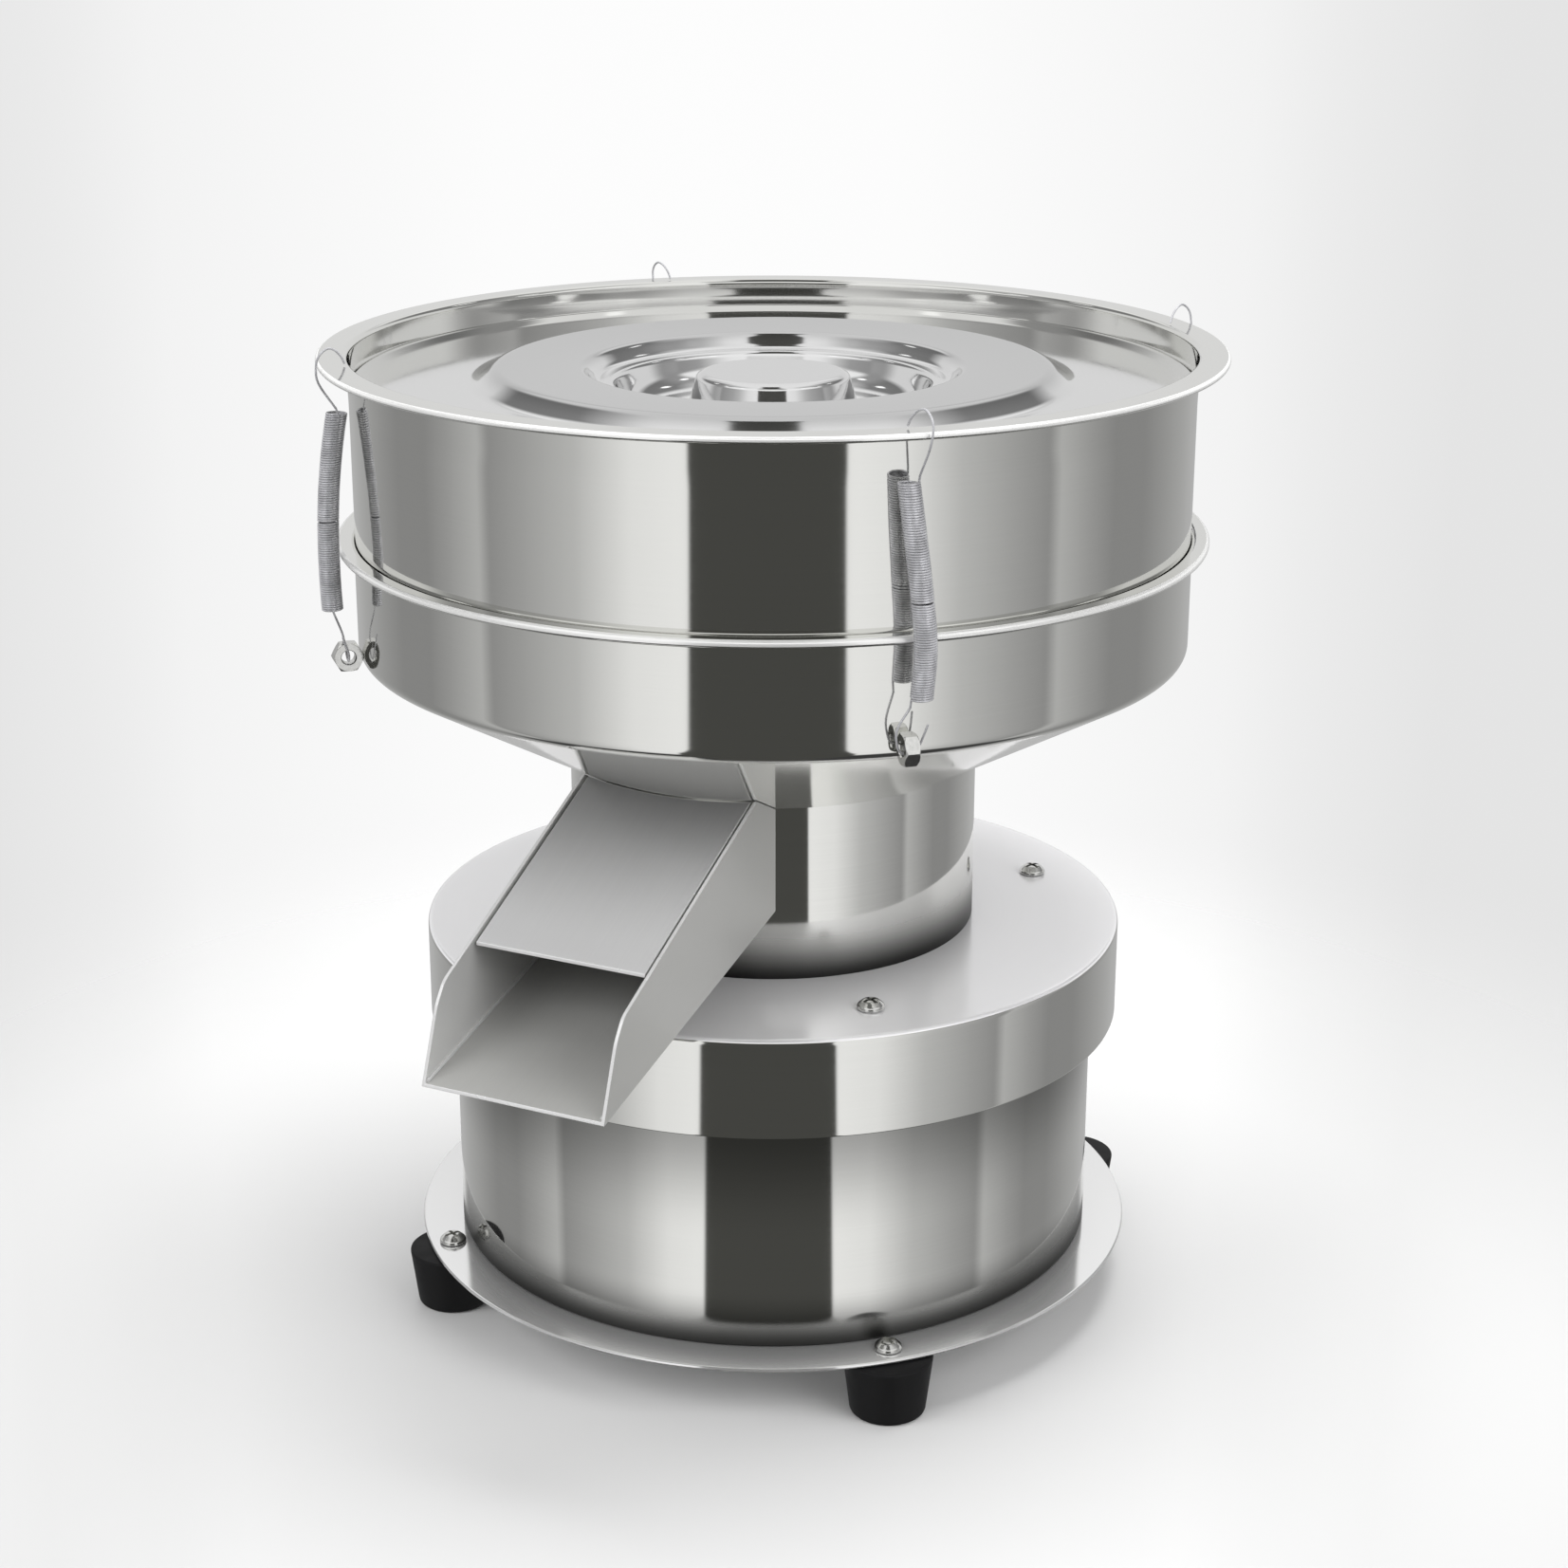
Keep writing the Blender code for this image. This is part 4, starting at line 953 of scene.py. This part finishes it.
# Cap and neck
def floor_line(reach):
    """Height of the outlet's lower side at a distance from the axis."""
    return FLOOR_AT_NECK - (reach - NECK_R) * FLOOR_SLOPE


def top_line(reach):
    """Height of the upper edges of the outlet's side plates."""
    return floor_line(CHUTE_END) + MOUTH_HEIGHT + (CHUTE_BEND_R - reach) * TOP_SLOPE


def floor_top(reach):
    """Height of the outlet's floor."""
    return floor_line(reach) + CHUTE_SHEET / math.cos(math.atan(FLOOR_SLOPE))


def add_cap_and_neck():
    cap_line = soften([(0, CAP_TOP), (CAP_R, CAP_TOP), (CAP_R, SKIRT_BOTTOM)], (CAP_EDGE,), steps=8)
    cap = lathe("cap_shell", sheet(cap_line, CAP_SHEET))
    piece(cap, "bucket_assembly", CAP_STEEL, "brushed_steel", "vibrating_cap")
    second_material(cap, WALL, standing)
    for number, angle in enumerate(CORNERS, 1):
        place = around(SCREW_CIRCLE_R, angle, CAP_TOP + GAP)
        screw = pan_screw(f"cap_pan_screw_{number}", CAP_SHEET + SCREW_SHANK, place)
        piece(screw, "bucket_assembly", PLATED, "zinc_steel", f"cap_screw_{number}")

    neck_line = [(NECK_R, CONE_BOTTOM + NECK_OVERLAP), (NECK_R, CAP_TOP + GAP)]
    neck = lathe("neck_tube", sheet(neck_line, NECK_SHEET))
    half = CHUTE_HALF - CHUTE_SHEET
    low = (-half, -2 * NECK_R, floor_top(NECK_R))
    combine(neck, box("window", low, (half, 0, CONE_BOTTOM - NECK_WINDOW_DROP)))
    finish_mesh(neck.data)
    piece(neck, "bucket_assembly", NECK_WALL, "polished_steel", "neck")


# Bucket, sieve and lid
def rolled_rim(wall_r, thickness, top, bend, rim_r, bead_r):
    """The outer and the inner line of a wall's edge, bent out to a flat brim and rolled."""
    centre = (wall_r + bend, top - bend)
    meeting = math.degrees(math.asin(1 - thickness / bead_r))
    bead = arc((rim_r - bead_r, top - bead_r), bead_r, 90, -180 - meeting, 24)
    under = arc(centre, bend - thickness, 90, 180, 8)
    above = arc(centre, bend, 180, 90, 10)
    return bead + under, above


def add_bucket():
    rim_outside, rim_inside = rolled_rim(
        BUCKET_INNER_R, BUCKET_SHEET, MOUTH_TOP, MOUTH_BEND, MOUTH_OUTER_R, MOUTH_BEAD_R
    )
    wall = soften(
        [rim_outside[-1], (BUCKET_R, CONE_TOP), (CONE_BOTTOM_R, CONE_BOTTOM)],
        (CONE_BEND,),
        steps=8,
    )
    inner = soften(
        [
            (CONE_BOTTOM_R, CONE_BOTTOM + BUCKET_SHEET * CONE_INNER_FOOT),
            (BUCKET_INNER_R, CONE_TOP + BUCKET_SHEET * CONE_INNER_TOP),
            rim_inside[0],
        ],
        (CONE_INNER_BEND,),
        steps=8,
    )
    bucket = lathe("bucket_shell", rim_outside[:-1] + wall + inner[:-1] + rim_inside)
    piece(bucket, "bucket_assembly", WALL, "polished_steel", "bucket")
    # Painted highlight on the mouth's bead
    paint_bead_highlight(bucket, MOUTH_TOP, MOUTH_OUTER_R, MOUTH_BEAD_R)
    # Painted light on the underside of the cone
    second_material(bucket, CONE_PAINTED_LIGHT_STEEL, under_cone)


def add_sieve():
    outer_r = SIEVE_R + SIEVE_SHEET
    inner_r = SPIGOT_R - SIEVE_SHEET
    rim_outside, rim_inside = rolled_rim(
        SIEVE_R + SIEVE_TAPER, SIEVE_SHEET, RIM_TOP, RIM_BEND, RIM_R, RIM_BEAD_R
    )
    outside = soften(
        [
            rim_outside[-1],
            (outer_r, RIM_TOP - TAPER_HEIGHT),
            (outer_r, SHOULDER_Z),
            (SPIGOT_R, SHOULDER_Z - SHOULDER_DROP),
            (SPIGOT_R, SIEVE_BOTTOM),
            (MESH_LIP_R, SIEVE_BOTTOM),
        ],
        SIEVE_ROUNDING,
    )
    inside = [
        (MESH_LIP_R, SIEVE_BOTTOM + SIEVE_SHEET),
        (inner_r, SIEVE_BOTTOM + SIEVE_SHEET),
        (inner_r, SHOULDER_Z - SHOULDER_INNER_DROP),
        (SIEVE_R, SHOULDER_Z + SHOULDER_INNER_RISE),
        (SIEVE_R, RIM_TOP - TAPER_HEIGHT),
    ]
    ring = lathe("sieve_shell", rim_outside[:-1] + outside + inside + rim_inside)
    piece(ring, "sieve", WALL, "polished_steel", "sieve_ring")
    # Painted highlight on the rim's bead
    paint_bead_highlight(ring, RIM_TOP, RIM_R, RIM_BEAD_R)

    mesh_top = MESH_Z + MESH_THICKNESS
    mesh_section = [(0, mesh_top), (MESH_R, mesh_top), (MESH_R, MESH_Z), (0, MESH_Z)]
    weave = lathe("woven_screen", mesh_section)
    piece(weave, "sieve", MESH_STEEL, "mesh", "sieve_mesh")
    low = mesh_top + GAP
    clamp_line = soften(
        [
            (MESH_R, low + CLAMP_HEIGHT / 2),
            (MESH_R, low + CLAMP_HEIGHT),
            (CLAMP_INNER_R, low + CLAMP_HEIGHT),
            (CLAMP_INNER_R, low),
            (MESH_R, low),
            (MESH_R, low + CLAMP_HEIGHT / 2),
        ],
        CLAMP_ROUNDING,
    )
    clamp = lathe("screen_clamp", clamp_line[:-1])
    piece(clamp, "sieve", RING_STEEL, "brushed_steel", "mesh_clamp_ring")


def add_lid():
    width = BOWL_R - BOSS_R
    depth = LEDGE_Z - BOWL_Z
    line = soften(
        [
            (0, BOSS_Z),
            (BOSS_R - BOSS_EDGE, BOSS_Z),
            (BOSS_R, BOSS_Z - BOSS_EDGE / 2),
            (BOSS_R + 0.12 * width, BOWL_Z + 0.25 * depth),
            (BOSS_R + 0.45 * width, BOWL_Z),
            (BOWL_R - 0.12 * width, BOWL_Z + 0.30 * depth),
            (BOWL_R, LEDGE_Z),
            (LEDGE_R, LEDGE_Z),
            (WELL_R, WELL_Z),
            (RING_TOP_R, RING_Z),
            (RING_OUTER_R, LID_FLAT_Z),
            (LID_EDGE_R - 0.0075, LID_FLAT_Z),
            (LID_EDGE_R - 0.0015, LID_EDGE_Z),
            (LID_EDGE_R - LID_SHEET / 2, LID_EDGE_Z),
        ],
        LID_ROUNDING,
        steps=8,
    )
    lid = lathe("lid_pressing", sheet(line, LID_SHEET))
    piece(lid, "lid", LID_STEEL, "polished_steel", "lid")


# Outlet
def add_chute():
    start = CHUTE_START
    bend = CHUTE_BEND_R
    lean = CHUTE_CORNER * (CHUTE_END - bend) / MOUTH_HEIGHT
    outline = soften(
        [
            (start, floor_line(start)),
            (CHUTE_END, floor_line(CHUTE_END)),
            (bend + lean, top_line(bend) - CHUTE_CORNER),
            (bend - CHUTE_CORNER / 2, top_line(bend - CHUTE_CORNER / 2)),
            (start, top_line(start)),
        ],
        CHUTE_ROUNDING,
        steps=4,
    )
    body = panel("chute_shell", outline, -CHUTE_HALF, CHUTE_HALF)
    reach = CHUTE_END + CHUTE_HALF
    hollow = panel(
        "hollow",
        [(0, floor_top(0)), (reach, floor_top(reach)), (reach, top_line(0)), (0, 2 * top_line(0))],
        -CHUTE_HALF + CHUTE_SHEET,
        CHUTE_HALF - CHUTE_SHEET,
    )
    combine(body, hollow)
    combine(body, outlet_envelope())
    round_corners(body)
    finish_mesh(body.data, 30)
    piece(body, "bucket_assembly", CHUTE_STEEL, "polished_steel", "chute_body")
    # Painted highlight on the plate edges
    paint_edge_highlights(body, 1.1 * CHUTE_SHEET)
    # Painted light on the inner side of the left plate
    second_material(body, INNER_PAINTED_LIGHT_STEEL, inner_left)

    # Seams along the floor's inner corners, in the painted highlight steel
    for side in (-1, 1):
        seam_x = side * (CHUTE_HALF - CHUTE_SHEET - SEAM_R / 2)
        ends = (NECK_R + SEAM_START, CHUTE_END - SEAM_STOP)
        points = [(seam_x, -end, floor_top(end) + SEAM_R / 2) for end in ends]
        seam = tube(f"chute_seam_{(side + 3) // 2}", points, SEAM_R)
        piece(seam, "bucket_assembly", EDGE_HIGHLIGHT_STEEL, "polished_steel")


def add_cover():
    lift = CHUTE_SHEET / math.cos(math.atan(TOP_SLOPE))
    low = top_line(CHUTE_START) - lift - CHUTE_SHEET / 2
    end_low = top_line(COVER_END_R) - lift - CHUTE_SHEET / 2
    half = CHUTE_HALF - CHUTE_SHEET - GAP - COVER_GAP
    outline = [
        (CHUTE_START, low),
        (COVER_END_R, end_low),
        (COVER_END_R, end_low + lift),
        (CHUTE_START, low + lift),
    ]
    cover = panel("chute_cover_plate", outline, -half, half)
    combine(cover, outlet_envelope())
    round_corners(cover)
    finish_mesh(cover.data, 30)
    piece(cover, "bucket_assembly", COVER_STEEL, "polished_steel", "chute_cover")
    # Painted highlight on the cover's edges
    paint_edge_highlights(cover, 0.9 * CHUTE_SHEET)


def outlet_envelope():
    """The space of neck and cone, which the outlet's plates end at."""
    slope = (CONE_TOP - CONE_BOTTOM) / (BUCKET_R - CONE_BOTTOM_R)
    foot = CONE_BOTTOM - 1.15 * GAP
    outer_r = 1.2 * BUCKET_R
    neck_r = NECK_R + GAP
    section = [
        (0, 2 * CONE_TOP),
        (outer_r, 2 * CONE_TOP),
        (outer_r, foot + (outer_r - neck_r) * slope),
        (neck_r, foot),
        (neck_r, 0),
        (0, 0),
    ]
    return lathe("envelope", section)


# Spring hooks, in their nut's frame: X outwards, Y along the hole, Z up
def hook_line():
    """The wire's route: through the nut, up the coil and over the sieve's rim."""
    half_nut = NUT_WIDTH / 2
    side = half_nut + 0.0016
    start_x = COIL_R + WIRE_R + COIL_STAND
    top_x = SIEVE_R + SIEVE_SHEET + COIL_R + COIL_LEAN - NUT_R
    lower = smooth_line(
        [
            (0.0022, side + 0.0016, 0.0084),
            (0.0007, side + 0.0005, 0.0038),
            (0.0001, side - 0.0003, 0.0012),
            (0, half_nut, -0.0010),
            (0, 0, -0.0016),
            (0, -half_nut, -0.0010),
            (0.0002, -side + 0.0003, 0.0014),
            (0.0010, -side - 0.0002, 0.0070),
            (start_x * 0.8, COIL_SIDES[0] - COIL_R, COIL_START - 0.0030),
        ],
        LINE_STEPS,
    )
    rim_x = RIM_R - NUT_R
    rim_z = RIM_TOP - NUT_Z
    side_x = rim_x + WIRE_R + 0.0008
    upper = smooth_line(
        [
            (top_x + 0.0006, COIL_SIDES[-1] + COIL_R + 0.0001, COIL_START + COIL_LENGTH + 0.0020),
            (side_x - 0.0004, 0.0034, rim_z - 0.0050),
            (side_x + 0.0002, 0.0042, rim_z + 0.0010),
            (side_x - 0.0010, 0.0040, rim_z + 0.0045),
            (rim_x - 0.0026, 0.0030, rim_z + HOOK_LOOP_RISE),
            (rim_x - 0.0052, 0.0016, rim_z + 0.0060),
            (rim_x - 0.0076, 0.0002, rim_z + 0.0036),
            (rim_x - 0.0090, -0.0006, rim_z + WIRE_R + GAP),
        ],
        LINE_STEPS,
    )
    return lower + coil_line(start_x, top_x) + upper


def coil_line(start_x, top_x):
    """Close turns that bow out over the bucket's bead, with one seam between them."""
    bead_x = MOUTH_OUTER_R + COIL_R + WIRE_R + COIL_CLEARANCE - NUT_R
    bead_z = MOUTH_TOP - MOUTH_BEAD_R - NUT_Z
    share = (bead_z - COIL_START) / COIL_LENGTH
    bulge = (bead_x - start_x - (top_x - start_x) * share) / (share * (1 - share))
    count = int((COIL_TURNS + 0.5) * COIL_POINTS)
    steps = count // (len(COIL_SIDES) - 1) + 1
    sides = smooth_line([(0, side_y, 0) for side_y in COIL_SIDES], steps)
    coil = []
    for i in range(count + 1):
        along = i / count
        centre_x = start_x + (top_x - start_x) * along + bulge * along * (1 - along)
        centre_y = sides[int(along * (len(sides) - 1))].y
        turn = 2 * math.pi * i / COIL_POINTS - math.pi / 2
        seam = COIL_SEAM * min(max((along - COIL_SEAM_AT) / COIL_SEAM_RUN, 0), 1)
        x = centre_x + COIL_R * math.cos(turn)
        y = centre_y + COIL_R * math.sin(turn)
        z = COIL_START + (COIL_LENGTH - COIL_SEAM) * along + seam
        coil.append(Vector((x, y, z)))
    return coil


def hex_nut(name, place):
    """A chamfered hexagon nut whose hole lies along Y."""
    corner_r = NUT_FLATS / math.sqrt(3)
    half = NUT_WIDTH / 2
    nut = lathe(name, [(0, half), (corner_r, half), (corner_r, -half), (0, -half)], 6)
    chamfer = soften(
        [
            (0, half),
            (NUT_FACE * corner_r, half),
            (NUT_OVER * corner_r, NUT_SIDE * half),
            (NUT_OVER * corner_r, -NUT_SIDE * half),
            (NUT_FACE * corner_r, -half),
            (0, -half),
        ],
        (0.0001, 0.0001, 0.0001, 0.0001),
    )
    combine(nut, lathe("chamfer", chamfer, SMALL_SEGMENTS), "INTERSECT")
    bore = [
        (0, 2 * half),
        (NUT_HOLE_R + NUT_SINK, 2 * half),
        (NUT_HOLE_R, NUT_BORE * half),
        (NUT_HOLE_R, -NUT_BORE * half),
        (NUT_HOLE_R + NUT_SINK, -2 * half),
        (0, -2 * half),
    ]
    combine(nut, lathe("bore", bore, SMALL_SEGMENTS))
    nut.data.transform(place @ Matrix.Rotation(math.pi / 2, 4, "X"))
    finish_mesh(nut.data, 25)
    return nut


def add_hooks():
    line = hook_line()
    for number, corner in enumerate(CORNERS, 1):
        place = around(NUT_R, corner + HOOK_TURN, NUT_Z)
        hook = tube(f"hook_wire_{number}", line, WIRE_R)
        hook.data.transform(place)
        piece(hook, f"hook_{number}", WIRE, "spring_wire", f"spring_hook_{number}")
        nut = hex_nut(f"hex_nut_{number}", place)
        piece(nut, "bucket_assembly", PLATED, "zinc_steel", f"hook_nut_{number}")


def dress_cad_nodes():
    for node in ("motor_bracket", "motor_housing"):
        carried_over(node, MOTOR)
    for node in ("upper_weight", "lower_weight"):
        carried_over(node, IRON)
    for node in ("upper_bearing", "lower_bearing", "rotor_shaft", "spring_deck", "discharge_plate"):
        carried_over(node, RING_STEEL)
    for node in ("switch_bezel", "switch_rocker", "cable_gland", "gland_nut"):
        carried_over(node, PLASTIC)
    for number in range(1, 5):
        carried_over(f"support_spring_{number}", WIRE)
        carried_over(f"spring_post_{number}", PLATED)
        carried_over(f"spring_cup_{number}", PLATED)


# Studio
class WorldNodes(Shader):
    """The studio's own nodes, on the direction of a ray."""

    def __init__(self, tree):
        self.tree = tree
        self.output = tree.nodes["Background"]
        self.place = self.node("ShaderNodeTexCoord").outputs["Generated"]

    def mix(self, factor, first, second):
        made = self.node("ShaderNodeMix", data_type="RGBA")
        self.link(factor, made.inputs["Factor"])
        for number, value in ((MIX_FIRST, first), (MIX_SECOND, second)):
            if isinstance(value, tuple):
                made.inputs[number].default_value = (*value, 1)
            else:
                self.link(value, made.inputs[number])
        return made.outputs[MIX_RESULT]

    def finish(self, colour):
        self.link(colour, self.output.inputs["Color"])


def world_value(tree, stops, value, centre):
    """A light level that depends on an angle's distance from a centre, in radians."""
    away = tree.math("ABSOLUTE", tree.math("SUBTRACT", value, centre))
    share = tree.math("DIVIDE", away, math.pi)
    return tree.ramp(share, [(angle / 180, level) for angle, level in stops])


def round_spots(tree, turn, z):
    """A ring of small round lamps above the machine: 1 inside a lamp and 0 outside."""
    step = 2 * math.pi / SPOTS
    positive = tree.math("ADD", turn, 4 * math.pi)
    nearest = tree.math("SUBTRACT", tree.math("MODULO", positive, step), step / 2)
    across = tree.math("MULTIPLY", nearest, math.cos(SPOT_HEIGHT))
    along = tree.math("SUBTRACT", tree.math("ARCSINE", z), SPOT_HEIGHT)
    return tree.fall(tree.length(across, along), (SPOT_SIZE * SPOT_CORE, SPOT_SIZE))


def add_world():
    world = bpy.data.worlds.new("studio")
    bpy.context.scene.world = world
    world.use_nodes = True
    tree = WorldNodes(world.node_tree)
    x, y, z = tree.parts()
    front = tree.towards(x, y, TO_CAMERA)
    side = tree.towards(x, y, TO_RIGHT)
    turn = tree.math("ARCTAN2", side, front)
    aside = tree.math("ABSOLUTE", side)

    off_centre = tree.math("ABSOLUTE", tree.math("SUBTRACT", side, SCREEN_SIDE))
    outside = tree.math("SUBTRACT", off_centre, tree.ramp(front, SCREEN_HALVES))
    bands = world_value(tree, LIGHT_BANDS, turn, BAND_CENTRE)
    light = tree.mix(tree.rise(z, UPPER_HEIGHT), bands, tree.ramp(outside, FLANKS))

    middle = tree.math(
        "MULTIPLY", tree.fall(aside, BACK_CENTRE_SIDE), tree.rise(z, BACK_CENTRE_HEIGHT)
    )
    back_light = tree.mix(middle, tree.ramp(z, BACK_LEVELS), grey(BACK_CENTRE_LEVEL))
    behind = tree.math("MULTIPLY", tree.fall(front, BACK_FRONT), tree.rise(z, BACK_HEIGHT))
    light = tree.mix(behind, light, back_light)

    nadir = tree.math("MULTIPLY", tree.fall(z, NADIR_HEIGHT), tree.rise(front, NADIR_FRONT))
    light = tree.mix(nadir, light, grey(NADIR_LEVEL))
    ahead = tree.math("GREATER_THAN", front, SCREEN_FRONT)
    screen = tree.math("MULTIPLY", tree.fall(outside, SCREEN_EDGE), ahead)
    light = tree.mix(screen, light, (SCREEN_LEVEL, SCREEN_LEVEL, SCREEN_LEVEL * SCREEN_BLUE))
    lamp = tree.math("MULTIPLY", tree.ramp(z, FRONT_LAMP), tree.rise(front, FRONT_LAMP_FRONT))
    light = tree.mix(lamp, light, grey(FRONT_LAMP_LEVEL))
    beside = tree.math("GREATER_THAN", aside, SPOT_SIDE)
    spots = tree.math("MULTIPLY", round_spots(tree, turn, z), beside)
    light = tree.mix(spots, light, grey(SPOT_LEVEL))

    back = tree.math("ARCTAN2", side, tree.math("MULTIPLY", front, -1.0))
    backdrop = world_value(tree, BACKDROP, back, BACKDROP_CENTRE)
    seen = tree.node("ShaderNodeLightPath").outputs["Is Camera Ray"]
    tree.finish(tree.mix(seen, light, backdrop))


def add_floor():
    """A pale round floor that fades into the backdrop and that polished steel looks through."""
    section = [(radius, 0) for radius in FLOOR_RADII]
    floor = lathe("floor", section, FLOOR_SEGMENTS, Matrix.Translation((0, 0, FLOOR_Z)))
    shader = Shader("floor_paper", grey(FLOOR_TONE), 1.0, 0.0)
    shader.surface.inputs["Specular IOR Level"].default_value = 0.0
    x, y, _ = shader.parts()
    side = shader.towards(x, y, TO_RIGHT)
    front = shader.towards(x, y, TO_CAMERA)
    turn = shader.math("ARCTAN2", side, shader.math("SUBTRACT", CAMERA_DISTANCE, front))
    # Painted light: the floor's tone is lightest straight ahead of the camera and darker towards
    # the sides, like the backdrop
    painted_light_tones = [(angle, FLOOR_TONE * level) for angle, level in BACKDROP]
    shader.use(world_value(shader, painted_light_tones, turn, BACKDROP_CENTRE), "Base Color")
    gone = shader.rise(shader.length(x, y), FLOOR_FADE)
    glossy = shader.node("ShaderNodeLightPath").outputs["Is Glossy Ray"]
    clear = shader.math("MAXIMUM", gone, glossy)
    through = shader.node("ShaderNodeBsdfTransparent")
    mix = shader.node("ShaderNodeMixShader")
    shader.link(clear, mix.inputs["Fac"])
    shader.link(shader.surface.outputs["BSDF"], mix.inputs[1])
    shader.link(through.outputs["BSDF"], mix.inputs[2])
    shader.link(mix.outputs["Shader"], shader.tree.nodes["Material Output"].inputs["Surface"])
    floor.data.materials.append(shader.material)


def add_lamp(name, place, size, power):
    light = bpy.data.lights.new(name, "AREA")
    light.shape = "DISK"
    light.size = size
    light.energy = power
    lamp = new_object(name, light)
    lamp.location = place
    lamp.visible_glossy = False
    aim = LAMP_AIM - Vector(place)
    lamp.rotation_euler = aim.to_track_quat("-Z", "Y").to_euler()


def add_camera():
    camera = bpy.data.cameras.new("camera")
    camera.lens = CAMERA_LENS
    camera.sensor_width = CAMERA_SENSOR
    camera.sensor_fit = "HORIZONTAL"
    camera.shift_x = CAMERA_SHIFT
    stand = new_object("camera", camera)
    stand.location = TO_CAMERA * CAMERA_DISTANCE + Vector((0, 0, CAMERA_HEIGHT))
    stand.rotation_euler = (math.pi / 2 - CAMERA_PITCH, 0, VIEW_TURN)
    bpy.context.scene.camera = stand


add_camera()
add_world()
add_floor()
for lamp_values in LAMPS:
    add_lamp(*lamp_values)
add_base()
add_cap_and_neck()
add_bucket()
add_sieve()
add_lid()
add_chute()
add_cover()
add_hooks()
dress_cad_nodes()
bpy.context.scene.view_settings.view_transform = "Standard"
